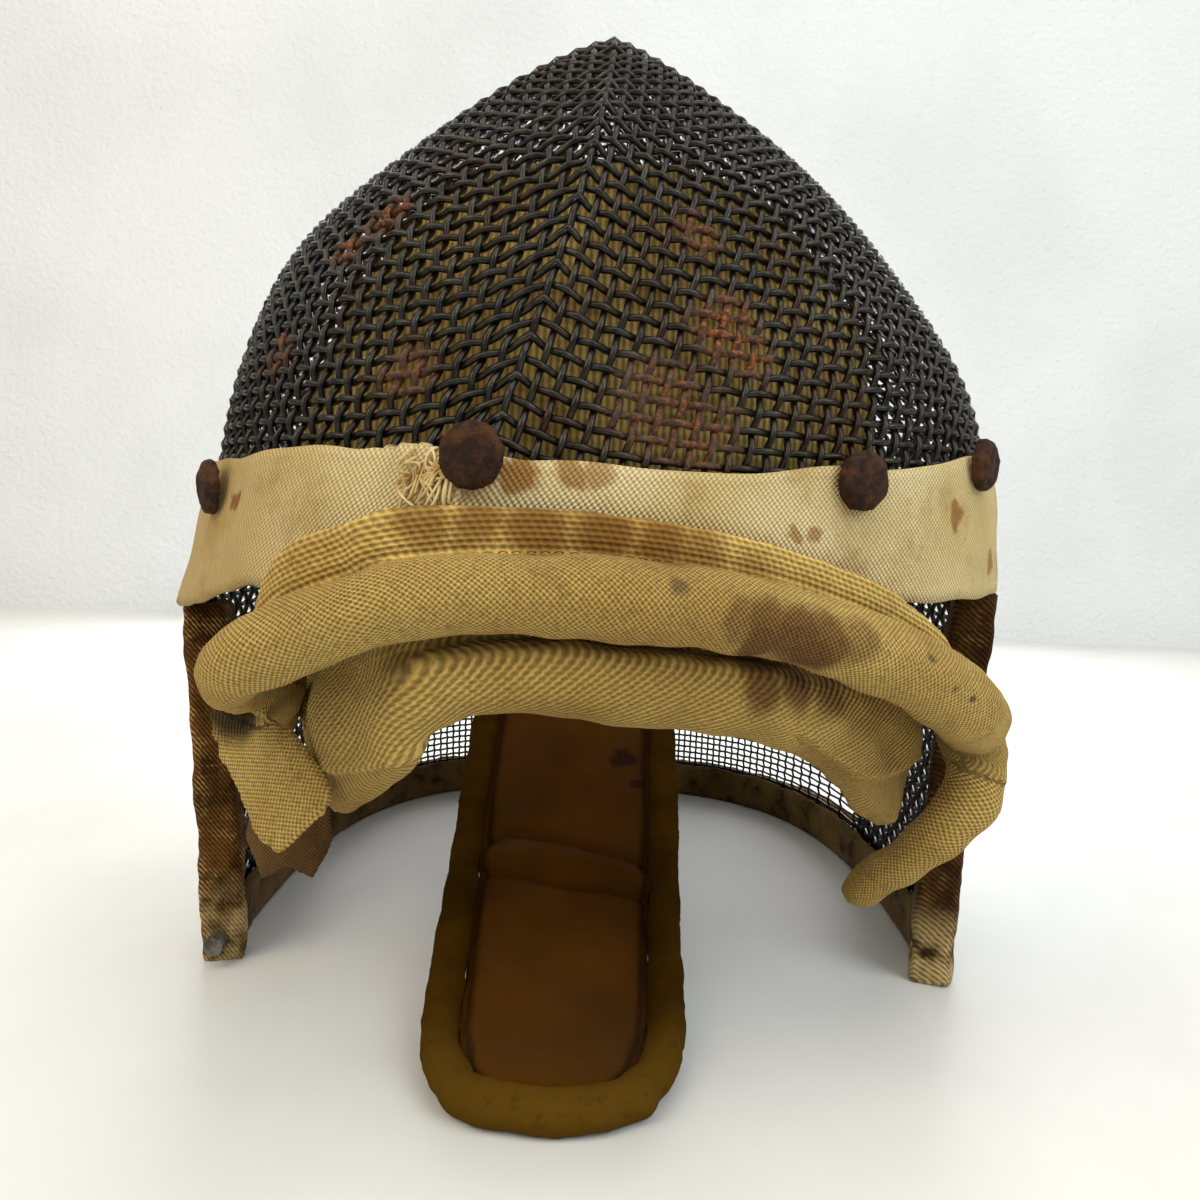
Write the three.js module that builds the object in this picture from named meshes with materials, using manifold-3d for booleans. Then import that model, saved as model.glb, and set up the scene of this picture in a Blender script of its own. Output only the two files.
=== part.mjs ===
import * as THREE from 'three';
import { mergeVertices } from 'three/addons/utils/BufferGeometryUtils.js';
import Module from 'manifold-3d';

// Antique fencing mask lying face up on its rear rim. Sizes in mm.
// X runs across the face, +Y toward the crown, +Z up to the face ridge.
// The jaw edges start in the plane Y = 0.

// The ridge, a superellipse in the Y-Z plane, and the plan of the cage at each height
const RIDGE = {
  y: 48, top: 235, foot: 90, near: 125, far: 113, nearPower: 2.15, farPower: 2.4, topInset: 1.15,
};
const PLAN = {
  half: 98.4, widest: 0.42, prow: 0.955, softProw: 0.985, round: 2.3, lowRound: 0.6, taper: 0.03,
  lowProw: 0.55,
};
const CREASE = { swing: -27, lean: 3, reach: 127, foot: 100 };
// Half width left and right of the ridge as a share of PLAN.half, by height above RIDGE.foot
const WIDTHS = [
  { up: 0.0, left: 1.0, right: 1.0 },
  { up: 0.2, left: 0.965, right: 1.01 },
  { up: 0.4, left: 0.919, right: 0.947 },
  { up: 0.6, left: 0.795, right: 0.742 },
  { up: 0.75, left: 0.56, right: 0.53 },
  { up: 0.9, left: 0.27, right: 0.23 },
  { up: 1.0, left: 0.0, right: 0.0 },
];
const CAGE = {
  wall: 1.6, rim: 4, jawY: 2, chinZ: 100, around: 52, lowLevels: [4, 34, 64, 90], rises: 11, rise: 7.6,
};
const GAP = 0.35;

const RIM_TAPE = { half: 4.8, tall: 12.5, slotHalf: 2, floor: 3.2, startY: 9.5, steps: 40 };
const JAW_TAPE = { half: 5.2, deep: 12.5, slotHalf: 1.5, floor: 5, foot: 0, startY: -4, steps: 9 };
const JAW_TOP = { left: 90.8, right: 100 };
const TIP_PIN = { radius: 2.4, length: 4 };

const BAND = { stand: 0.4, thick: 2, steps: 40 };
// The canvas strip round the chin: turn from the crease, lower and upper edge, stand-off of the lower edge
const BAND_EDGE = [
  { turn: -84, low: 91.5, high: 124.5, flare: 2.5 },
  { turn: -63, low: 92.5, high: 125, flare: 2 },
  { turn: -50, low: 97, high: 126, flare: 1 },
  { turn: -40, low: 101, high: 127, flare: 0.6 },
  { turn: -24, low: 102, high: 128, flare: 0.3 },
  { turn: 0, low: 102, high: 127, flare: 0 },
  { turn: 30, low: 101.5, high: 126, flare: 0.2 },
  { turn: 60, low: 101, high: 131, flare: 1.2 },
  { turn: 84, low: 101, high: 136, flare: 2 },
];
const RIVET = { radius: 6, rise: 2.2, foot: 0.8, lift: 0.9, sides: 14 };
const RIVETS = [
  { name: 'rivet_left_edge', turn: -54, z: 119.5 },
  { name: 'rivet_chin', turn: -1, z: 126.5 },
  { name: 'rivet_right', turn: 42, z: 125 },
  { name: 'rivet_right_edge', turn: 62, z: 130 },
];

// Outer padded roll of the bib: turn, inset from the cage face, height of its centre, radius, flap above it
const ROLL = [
  { turn: -63, inset: 13, z: 62.5, r: 5.5, flap: 7 },
  { turn: -58, inset: 12, z: 68, r: 6.5, flap: 9 },
  { turn: -50, inset: 9, z: 74.5, r: 7.2, flap: 11.5 },
  { turn: -40, inset: 5, z: 81, r: 7.6, flap: 13 },
  { turn: -33, inset: -2, z: 85, r: 7.6, flap: 13.5 },
  { turn: -27, inset: -9, z: 88.3, r: 7.4, flap: 13 },
  { turn: -18, inset: -12, z: 93.8, r: 7.3, flap: 16.6 },
  { turn: -9, inset: -12, z: 98.7, r: 7, flap: 16.1 },
  { turn: 0, inset: -12, z: 101, r: 6.9, flap: 15.6 },
  { turn: 18, inset: -12, z: 104.4, r: 7.1, flap: 14 },
  { turn: 32, inset: -12, z: 100.2, r: 7.5, flap: 13.8 },
  { turn: 44, inset: -12, z: 90.5, r: 8, flap: 15 },
  { turn: 52, inset: -11, z: 81.5, r: 8.8, flap: 14 },
  { turn: 60, inset: -4.5, z: 75.5, r: 8.8, flap: 11.5 },
  { turn: 67, inset: 1, z: 71, r: 8.2, flap: 9 },
];
const ROLL_LOFT = { steps: 36, at: 105, end: 0.72 };
const FLAP = { inner: -7.3, outer: -4.4, groove: -3.2 };
// Rope-like tail of the roll at the right end: points along its middle and its radius
const TAIL = [
  { x: 86, y: -17, z: 73, r: 7.6 },
  { x: 88.6, y: -23.5, z: 63.5, r: 7.2 },
  { x: 85.6, y: -27, z: 54, r: 6.4 },
  { x: 78, y: -25, z: 44.5, r: 5.6 },
  { x: 71, y: -21.5, z: 36.5, r: 5.1 },
  { x: 63.5, y: -17, z: 28.5, r: 4.3 },
];
const TAIL_LOFT = { steps: 14, sides: 12, end: 0.6, flat: 1 };
// Flat folded corner of the cloth that hangs from the roll at the left end, with its half width
const CORNER = [
  { x: -68, y: -56, z: 80, r: 5.5 },
  { x: -66, y: -57.5, z: 74, r: 7 },
  { x: -55, y: -69, z: 67, r: 9.6 },
  { x: -48, y: -75, z: 60.4, r: 8.8 },
];
const CORNER_LOFT = { steps: 8, sides: 12, end: 0.85, flat: 0.16 };
// Inner twill roll under it, which hangs down as folds at both ends
const INNER = [
  { turn: -68, inset: 21, top: 73, low: 57, half: 2.4 },
  { turn: -60, inset: 22.6, top: 80, low: 53, half: 2.8 },
  { turn: -51, inset: 21.6, top: 85, low: 53, half: 3.2 },
  { turn: -42, inset: 18.5, top: 89, low: 54, half: 3.8 },
  { turn: -32, inset: 10.5, top: 91.4, low: 56, half: 4.6 },
  { turn: -22, inset: 3.5, top: 93, low: 60, half: 5.8 },
  { turn: -14, inset: 0.5, top: 92.5, low: 66, half: 6.6 },
  { turn: -6, inset: -3.5, top: 92, low: 72.5, half: 7.2 },
  { turn: 2, inset: -5, top: 93.6, low: 78, half: 7.6 },
  { turn: 10, inset: -6, top: 95.4, low: 83.5, half: 7.8 },
  { turn: 20, inset: -6, top: 96.2, low: 81.8, half: 7.8 },
  { turn: 32, inset: -3.8, top: 91.8, low: 76.5, half: 7.4 },
  { turn: 41, inset: 2.5, top: 87, low: 67, half: 6.2 },
  { turn: 49, inset: 7, top: 84, low: 54, half: 4.6 },
  { turn: 56, inset: 8.5, top: 81, low: 49, half: 3.6 },
  { turn: 64, inset: 11, top: 76, low: 54, half: 2.4 },
];
const INNER_LOFT = { steps: 34, sides: 14, at: 105, end: 0.7 };
// Cloth that runs up from the inner roll behind the outer one, toward the chin band
const WEB = { from: -20, to: 38, steps: 14, behind: 9.3, half: 1, top: 99.3 };
// Lining cloth behind the chin mesh: height, half width, lateral middle
const LINING = [
  { z: 101, half: 60, mid: -2 },
  { z: 118, half: 60, mid: -1 },
  { z: 140, half: 57, mid: 0 },
  { z: 160, half: 52, mid: 2 },
  { z: 176, half: 40, mid: 2 },
  { z: 186, half: 26, mid: 2 },
];
const LINING_SET = { inset: 4.2, thick: 2, soften: 9, across: 16 };

// Tongue: points along the top face from tip to root in the Y-Z plane, and the half width there
const TONGUE = [
  { y: -60.5, z: 7.2, half: 12 },
  { y: -54, z: 7.4, half: 16.6 },
  { y: -42, z: 8.2, half: 19.4 },
  { y: -22, z: 12, half: 20.4 },
  { y: 0, z: 19.6, half: 21.2 },
  { y: 16, z: 27.2, half: 21.8 },
  { y: 40, z: 38, half: 22.6 },
  { y: 75, z: 53.5, half: 23.2 },
  { y: 110, z: 69.5, half: 23.6 },
  { y: 132, z: 82, half: 23.6 },
  { y: 141, z: 94, half: 23.6 },
  { y: 143, z: 112, half: 23 },
  { y: 142.6, z: 124, half: 19 },
];
const PAD = { thick: 5.5, crown: 1.6, edge: 1.2, across: 8, steps: 34, mid: -4.8 };
const PIPING = { radius: 4, sides: 8, sideSteps: 30, seam: 0.5, drop: 0.2 };
const ANCHOR = { width: 34, tall: 16, z: 114, nearY: 149.4, bow: 210 };
// Torn lining cloth under the left end of the bib: its place, and rows along it with shares of its height
const SCRAP = { x0: -79, x1: -59, y: -17, z0: 28, z1: 55.8, thick: 1.4, bow: 3 };
const SCRAP_ROWS = [
  { along: 0, low: 0.35, high: 0.75 },
  { along: 0.2, low: 0, high: 1 },
  { along: 0.5, low: 0.12, high: 1 },
  { along: 0.8, low: 0.02, high: 0.9 },
  { along: 1, low: 0.35, high: 0.6 },
];

const COLOURS = {
  wire: { color: 0x3c3b37, metalness: 0.8, roughness: 0.5 },
  canvas: { color: 0xc9b88c, metalness: 0, roughness: 0.9 },
  tan: { color: 0xa58c58, metalness: 0, roughness: 0.9 },
  lining: { color: 0x69553a, metalness: 0, roughness: 0.9 },
  tape: { color: 0x4a3a22, metalness: 0, roughness: 0.9 },
  jaw: { color: 0x8a5c2c, metalness: 0, roughness: 0.9 },
  rust: { color: 0x2c1a12, metalness: 0.4, roughness: 0.8 },
  leather: { color: 0x4e3519, metalness: 0, roughness: 0.6 },
  suede: { color: 0x5c4a22, metalness: 0, roughness: 0.9 },
  steel: { color: 0x7c7c78, metalness: 0.8, roughness: 0.5 },
};

const wasm = await Module();
wasm.setup();
const V = (x, y, z) => new THREE.Vector3(x, y, z);
const clamp = (v, lo, hi) => Math.min(hi, Math.max(lo, v));
const rad = THREE.MathUtils.degToRad;

// Smooth value of one column of a table at key position t
function smooth(rows, key, column, t) {
  const n = rows.length;
  let i = 0;
  while (i < n - 2 && t > rows[i + 1][key]) i += 1;
  const slope = (j) => {
    const a = rows[Math.max(0, j - 1)];
    const b = rows[Math.min(n - 1, j + 1)];
    return (b[column] - a[column]) / (b[key] - a[key]);
  };
  const p = rows[i];
  const q = rows[i + 1];
  const h = q[key] - p[key];
  const s = clamp((t - p[key]) / h, 0, 1);
  const s2 = s * s;
  const s3 = s2 * s;
  return p[column] * (2 * s3 - 3 * s2 + 1) + slope(i) * h * (s3 - 2 * s2 + s)
    + q[column] * (3 * s2 - 2 * s3) + slope(i + 1) * h * (s3 - s2);
}

// Skin of the cage, moved inward by inset: turn 0 is the chin crease, 90 the right side, 180 the crown
function cagePoint(z, rawTurn, inset = 0, prow = PLAN.prow) {
  const turn = THREE.MathUtils.euclideanModulo(rawTurn + 180, 360) - 180;
  const top = RIDGE.top - RIDGE.topInset * inset;
  const up = clamp((z - RIDGE.foot) / (top - RIDGE.foot), 0, 1);
  const low = clamp((RIDGE.foot - z) / RIDGE.foot, 0, 1);
  const reach = (length, power) => (length - inset) * Math.pow(1 - Math.pow(up, power), 1 / power);
  const yNear = RIDGE.y - reach(RIDGE.near, RIDGE.nearPower);
  const yFar = RIDGE.y + reach(RIDGE.far, RIDGE.farPower);
  const yWide = yNear + PLAN.widest * (yFar - yNear);
  const side = turn < 0 ? 'left' : 'right';
  const spread = Math.max(0, smooth(WIDTHS, 'up', side, up));
  const width = (PLAN.half * (1 - PLAN.taper * low) - inset) * spread;
  const angle = rad(Math.abs(turn));
  const along = Math.cos(angle);
  let y = yWide;
  let share = 1;
  if (along >= 0) {
    const k = prow * (1 - PLAN.lowProw * low);
    const k0 = Math.sqrt(1 - k * k);
    y = yWide - (yWide - yNear) * along;
    share = (Math.sqrt(1 - k * k * along * along) - k0) / (1 - k0);
  } else {
    const power = PLAN.round + PLAN.lowRound * low;
    y = yWide - (yFar - yWide) * along;
    share = Math.pow(Math.max(0, 1 - Math.pow(-along, power)), 1 / power);
  }
  const drop = clamp((RIDGE.top - z) / (RIDGE.top - CREASE.foot), 0, 1);
  const ahead = clamp((RIDGE.y - y) / CREASE.reach, 0, 1.1);
  const swing = CREASE.swing * drop * Math.pow(ahead, 4) + CREASE.lean * (1 - drop) * ahead;
  return V(swing + Math.sign(turn) * width * share, y, z);
}

// Closed solid from a row of rings with the same number of points and flat ends
function loft(rings, ends) {
  const n = rings[0].length;
  const points = rings.flat();
  const faces = [];
  for (let i = 0; i < rings.length - 1; i += 1) {
    for (let j = 0; j < n; j += 1) {
      const a = i * n + j;
      const b = i * n + (j + 1) % n;
      faces.push([a, b, b + n], [a, b + n, a + n]);
    }
  }
  const outline = ends.map(([u, v]) => new THREE.Vector2(u, v));
  const last = (rings.length - 1) * n;
  for (const corners of THREE.ShapeUtils.triangulateShape(outline, [])) {
    const turned = THREE.ShapeUtils.area(corners.map((k) => outline[k]));
    const same = turned * THREE.ShapeUtils.area(outline) > 0;
    const [a, b, c] = same ? corners : corners.slice().reverse();
    faces.push([a, c, b], [last + a, last + b, last + c]);
  }
  return skin(points, faces);
}

// Geometry from points and faces, turned so that its volume is positive
function skin(points, faces) {
  let volume = 0;
  for (const [a, b, c] of faces) {
    volume += points[a].dot(V(0, 0, 0).crossVectors(points[b], points[c]));
  }
  const geometry = new THREE.BufferGeometry();
  const places = points.flatMap((p) => [p.x, p.y, p.z]);
  geometry.setAttribute('position', new THREE.Float32BufferAttribute(places, 3));
  geometry.setIndex(faces.flatMap(([a, b, c]) => (volume > 0 ? [a, b, c] : [a, c, b])));
  return mergeVertices(geometry, 1e-4);
}

function toManifold(geometry) {
  return new wasm.Manifold(new wasm.Mesh({
    numProp: 3,
    vertProperties: new Float32Array(geometry.attributes.position.array),
    triVerts: new Uint32Array(geometry.index.array),
  }));
}

function fromManifold(manifold) {
  const mesh = manifold.getMesh();
  const geometry = new THREE.BufferGeometry();
  geometry.setAttribute('position', new THREE.Float32BufferAttribute(mesh.vertProperties, 3));
  geometry.setIndex([...mesh.triVerts]);
  return geometry;
}

function block(x0, x1, y0, y1, z0, z1) {
  const geometry = new THREE.BoxGeometry(x1 - x0, y1 - y0, z1 - z0);
  geometry.translate((x0 + x1) / 2, (y0 + y1) / 2, (z0 + z1) / 2);
  geometry.deleteAttribute('normal');
  geometry.deleteAttribute('uv');
  return toManifold(mergeVertices(geometry, 1e-4));
}

const ellipse = (sides) => Array.from({ length: sides }, (_, i) => {
  const a = (2 * Math.PI * i) / sides;
  return [Math.cos(a), Math.sin(a)];
});

// Outward level direction of the cage at a turn
function outward(z, turn, prow) {
  const a = cagePoint(z, turn - 1.5, 0, prow);
  const b = cagePoint(z, turn + 1.5, 0, prow);
  return V(b.y - a.y, a.x - b.x, 0).normalize();
}

// Wire cage: outer and inner skin joined at the rim, notched below the chin
function cageGeometry() {
  const turns = Array.from({ length: CAGE.around }, (_, j) => -180 + (360 * j) / CAGE.around);
  const skinRings = (inset) => {
    const top = RIDGE.top - RIDGE.topInset * inset;
    const rises = Array.from({ length: CAGE.rises }, (_, i) => {
      return RIDGE.foot + (top - RIDGE.foot) * Math.sin(rad(CAGE.rise * (i + 1)));
    });
    return [...CAGE.lowLevels, ...rises].map((z) => turns.map((t) => cagePoint(z, t, inset)));
  };
  const outer = skinRings(0);
  const inner = skinRings(CAGE.wall);
  const rings = [...outer.slice().reverse(), ...inner];
  const n = CAGE.around;
  const points = rings.flat();
  const faces = [];
  for (let i = 0; i < rings.length - 1; i += 1) {
    for (let j = 0; j < n; j += 1) {
      const a = i * n + j;
      const b = i * n + (j + 1) % n;
      faces.push([a, b, b + n], [a, b + n, a + n]);
    }
  }
  const apexOuter = points.push(V(0, RIDGE.y, RIDGE.top)) - 1;
  const apexInner = points.push(V(0, RIDGE.y, RIDGE.top - RIDGE.topInset * CAGE.wall)) - 1;
  const last = (rings.length - 1) * n;
  for (let j = 0; j < n; j += 1) {
    const k = (j + 1) % n;
    faces.push([apexOuter, k, j], [apexInner, last + j, last + k]);
  }
  const notch = block(-140, 140, -200, CAGE.jawY, -10, CAGE.chinZ);
  return fromManifold(toManifold(skin(points, faces)).subtract(notch));
}

// Folded tape channel: section with a slot for the mesh edge, slot opening toward +v
function channel(half, tall, slotHalf, floor) {
  return [
    [-half, 0.9], [-half + 0.9, 0], [half - 0.9, 0], [half, 0.9], [half, tall - 1.2], [half - 1, tall],
    [slotHalf, tall], [slotHalf, floor], [-slotHalf, floor], [-slotHalf, tall], [-half + 1, tall],
    [-half, tall - 1.2],
  ];
}

function rimTape() {
  const section = channel(RIM_TAPE.half, RIM_TAPE.tall, RIM_TAPE.slotHalf, RIM_TAPE.floor);
  const mid = CAGE.wall / 2;
  const span = turnAt(CAGE.rim, RIM_TAPE.startY, 1);
  const rings = Array.from({ length: RIM_TAPE.steps + 1 }, (_, i) => {
    const turn = span + ((360 - 2 * span) * i) / RIM_TAPE.steps;
    const wrapped = turn > 180 ? turn - 360 : turn;
    const p = cagePoint(CAGE.rim, wrapped, mid);
    const out = outward(CAGE.rim, wrapped);
    return section.map(([u, v]) => V(p.x + out.x * u, p.y + out.y * u, v));
  });
  return loft(rings, section);
}

// Turn at which the cage crosses a given Y on the right or left side
function turnAt(z, y, sign) {
  let lo = 0;
  let hi = 180;
  for (let i = 0; i < 40; i += 1) {
    const mid = (lo + hi) / 2;
    if (cagePoint(z, sign * mid).y < y) lo = mid;
    else hi = mid;
  }
  return lo;
}

function jawTape(sign) {
  const section = channel(JAW_TAPE.half, JAW_TAPE.deep, JAW_TAPE.slotHalf, JAW_TAPE.floor);
  const top = sign < 0 ? JAW_TOP.left : JAW_TOP.right;
  const rings = Array.from({ length: JAW_TAPE.steps + 1 }, (_, i) => {
    const z = JAW_TAPE.foot + ((top - JAW_TAPE.foot) * i) / JAW_TAPE.steps;
    const turn = sign * turnAt(Math.max(z, CAGE.rim), CAGE.jawY + 4, sign);
    const p = cagePoint(Math.max(z, CAGE.rim), turn, CAGE.wall / 2);
    const out = outward(Math.max(z, CAGE.rim), turn);
    const back = V(-out.y * sign, out.x * sign, 0);
    return section.map(([u, v]) => {
      const d = v + JAW_TAPE.startY - p.y;
      return V(p.x + out.x * u + back.x * d, p.y + out.y * u + back.y * d, z);
    });
  });
  return loft(rings, section);
}

function band() {
  const first = BAND_EDGE[0].turn;
  const last = BAND_EDGE[BAND_EDGE.length - 1].turn;
  const rings = Array.from({ length: BAND.steps + 1 }, (_, i) => {
    const turn = first + ((last - first) * i) / BAND.steps;
    const low = smooth(BAND_EDGE, 'turn', 'low', turn);
    const high = smooth(BAND_EDGE, 'turn', 'high', turn);
    const flare = smooth(BAND_EDGE, 'turn', 'flare', turn);
    const at = (share, depth) => {
      const p = cagePoint(low + (high - low) * share, turn, -BAND.stand - depth);
      return p.addScaledVector(outward(p.z, turn), flare * (1 - share) * (1 - share));
    };
    return [at(0, 0), at(0.5, 0), at(1, 0), at(1, BAND.thick), at(0.5, BAND.thick), at(0, BAND.thick)];
  });
  return loft(rings, [[0, 0], [-0.2, 1], [0, 2], [1, 2], [1.2, 1], [1, 0]]);
}

function rivet({ turn, z }) {
  const profile = [[0, 0], [0.97, 0], [1, 0.25], [0.9, 0.62], [0.6, 0.9], [0, 1]];
  const height = RIVET.rise + RIVET.foot;
  const outline = profile.map(([r, h]) => new THREE.Vector2(r * RIVET.radius, h * height));
  const lathe = new THREE.LatheGeometry(outline, RIVET.sides);
  lathe.deleteAttribute('normal');
  lathe.deleteAttribute('uv');
  const geometry = mergeVertices(lathe, 1e-4);
  const out = outward(z, turn);
  geometry.applyQuaternion(new THREE.Quaternion().setFromUnitVectors(V(0, 1, 0), out));
  const seat = cagePoint(z, turn, -BAND.stand - BAND.thick);
  seat.addScaledVector(out, GAP + RIVET.lift);
  geometry.translate(seat.x, seat.y, seat.z);
  return geometry;
}

function bibRoll() {
  const first = ROLL[0].turn;
  const last = ROLL[ROLL.length - 1].turn;
  const shape = (r, flap) => [
    [FLAP.inner, flap], [FLAP.inner, 2], [-0.96 * r, -0.25 * r], [-0.72 * r, -0.72 * r], [-0.2 * r, -r],
    [0.42 * r, -0.93 * r], [0.86 * r, -0.56 * r], [1.04 * r, 0.02 * r], [0.86 * r, 0.55 * r],
    [0.4 * r, 0.93 * r], [-0.1 * r, 1.02 * r], [FLAP.groove, 0.86 * r], [FLAP.outer, 1.02 * r],
    [FLAP.outer, flap - 0.6],
    [(FLAP.inner + FLAP.outer) / 2, flap + 0.3],
  ];
  const rings = Array.from({ length: ROLL_LOFT.steps + 1 }, (_, i) => {
    const turn = first + ((last - first) * i) / ROLL_LOFT.steps;
    const get = (column) => smooth(ROLL, 'turn', column, turn);
    const z = get('z');
    const p = cagePoint(ROLL_LOFT.at, turn, get('inset'), PLAN.softProw);
    const out = outward(ROLL_LOFT.at, turn, PLAN.softProw);
    const end = i === 0 || i === ROLL_LOFT.steps ? ROLL_LOFT.end : 1;
    const section = shape(get('r'), get('flap'));
    return section.map(([u, v]) => V(p.x + out.x * u * end, p.y + out.y * u * end, z + v * end));
  });
  const roll = loft(rings, shape(7, 9));
  const tail = toManifold(rope(TAIL, TAIL_LOFT));
  const corner = toManifold(rope(CORNER, CORNER_LOFT));
  return fromManifold(toManifold(roll).add(tail).add(corner));
}

// Round or flattened length of cloth along a row of points
function rope(rows, { steps, sides, end, flat }) {
  const path = new THREE.CatmullRomCurve3(rows.map((t) => V(t.x, t.y, t.z)));
  const widths = rows.map((t, i) => ({ at: i, r: t.r }));
  const circle = ellipse(sides);
  const rings = Array.from({ length: steps + 1 }, (_, i) => {
    const t = i / steps;
    const p = path.getPoint(t);
    const ahead = path.getTangent(t);
    const side = V(0, 0, 0).crossVectors(ahead, V(0, 1, 0)).normalize();
    const up = V(0, 0, 0).crossVectors(side, ahead).normalize();
    const r = smooth(widths, 'at', 'r', t * (rows.length - 1)) * (i === 0 || i === steps ? end : 1);
    return circle.map(([u, v]) => p.clone().addScaledVector(side, u * r).addScaledVector(up, v * r * flat));
  });
  return loft(rings, circle);
}

function bibInner() {
  const first = INNER[0].turn;
  const last = INNER[INNER.length - 1].turn;
  const shape = ellipse(INNER_LOFT.sides);
  const rings = Array.from({ length: INNER_LOFT.steps + 1 }, (_, i) => {
    const turn = first + ((last - first) * i) / INNER_LOFT.steps;
    const get = (column) => smooth(INNER, 'turn', column, turn);
    const mid = (get('top') + get('low')) / 2;
    const tall = (get('top') - get('low')) / 2;
    const p = cagePoint(INNER_LOFT.at, turn, get('inset'), PLAN.softProw);
    const out = outward(INNER_LOFT.at, turn, PLAN.softProw);
    const end = i === 0 || i === INNER_LOFT.steps ? INNER_LOFT.end : 1;
    return shape.map(([u, v]) => {
      const round = Math.sign(u) * Math.pow(Math.abs(u), 0.8) * get('half') * end;
      return V(p.x + out.x * round, p.y + out.y * round, mid + v * tall * end);
    });
  });
  return fromManifold(toManifold(loft(rings, shape)).add(toManifold(bibWeb())));
}

function bibWeb() {
  const rings = Array.from({ length: WEB.steps + 1 }, (_, i) => {
    const turn = WEB.from + ((WEB.to - WEB.from) * i) / WEB.steps;
    const get = (column) => smooth(INNER, 'turn', column, turn);
    const rollInset = smooth(ROLL, 'turn', 'inset', turn);
    const place = (inset) => cagePoint(INNER_LOFT.at, turn, inset, PLAN.softProw);
    const out = outward(INNER_LOFT.at, turn, PLAN.softProw);
    const behind = Math.max(WEB.behind, place(rollInset).sub(place(get('inset'))).dot(out));
    const low = (get('top') + get('low')) / 2;
    const at = (side, z) => place(rollInset).addScaledVector(out, -behind - side * WEB.half).setZ(z);
    return [at(-1, low), at(1, low), at(1, WEB.top), at(-1, WEB.top)];
  });
  return loft(rings, [[0, 0], [1, 0], [1, 1], [0, 1]]);
}

// Y of the near cage face at a given X and height
function nearFace(z, x, inset) {
  const crease = cagePoint(z, 0, inset);
  const sign = x < crease.x ? -1 : 1;
  let lo = 0;
  let hi = 89;
  for (let i = 0; i < 40; i += 1) {
    const mid = (lo + hi) / 2;
    if (Math.abs(cagePoint(z, sign * mid, inset).x - crease.x) < Math.abs(x - crease.x)) lo = mid;
    else hi = mid;
  }
  return cagePoint(z, sign * lo, inset).y;
}

function chinLining() {
  const n = LINING_SET.across;
  const sheet = (z, half, mid, inset) => Array.from({ length: n + 1 }, (_, j) => {
    const x = mid + half * (2 * j / n - 1);
    const crease = cagePoint(z, 0, inset).x;
    const away = Math.sign(x - crease) * Math.hypot(x - crease, LINING_SET.soften);
    return V(x, nearFace(z, crease + away, inset), z);
  });
  const rings = LINING.map(({ z, half, mid }) => [
    ...sheet(z, half, mid, LINING_SET.inset),
    ...sheet(z, half, mid, LINING_SET.inset + LINING_SET.thick).reverse(),
  ]);
  const flat = [];
  for (let j = 0; j <= n; j += 1) {
    flat.push([j, -0.1 * j * (n - j)]);
  }
  for (let j = n; j >= 0; j -= 1) {
    flat.push([j, 1 + 0.1 * j * (n - j)]);
  }
  return loft(rings, flat);
}

// Frame along the tongue: place on its top face, direction and up
function tonguePath() {
  const curve = new THREE.CatmullRomCurve3(TONGUE.map((t) => V(0, t.y, t.z)), false, 'centripetal');
  const rows = TONGUE.map((t, i) => ({ at: i, half: t.half }));
  return (share) => {
    const p = curve.getPoint(share);
    const ahead = curve.getTangent(share);
    const up = V(0, -ahead.z, ahead.y);
    return { p, up, half: smooth(rows, 'at', 'half', share * (TONGUE.length - 1)) };
  };
}

function tonguePad() {
  const at = tonguePath();
  const n = PAD.across;
  const shape = [];
  for (let j = 0; j <= n; j += 1) {
    shape.push([2 * j / n - 1, 1]);
  }
  for (let j = n; j >= 0; j -= 1) {
    shape.push([2 * j / n - 1, 0]);
  }
  const rings = Array.from({ length: PAD.steps + 1 }, (_, i) => {
    const { p, up, half } = at(i / PAD.steps);
    return shape.map(([u, top]) => {
      const dome = PAD.crown * (1 - u * u) - PAD.edge * Math.pow(Math.abs(u), 6);
      const lift = top ? dome - PAD.crown : -PAD.thick + PAD.edge * Math.pow(Math.abs(u), 6);
      return V(PAD.mid + u * half, p.y + up.y * lift, p.z + up.z * lift);
    });
  });
  return loft(rings, shape.map(([u, top]) => [u, top ? 2 - u * u : u * u - 1]));
}

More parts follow.
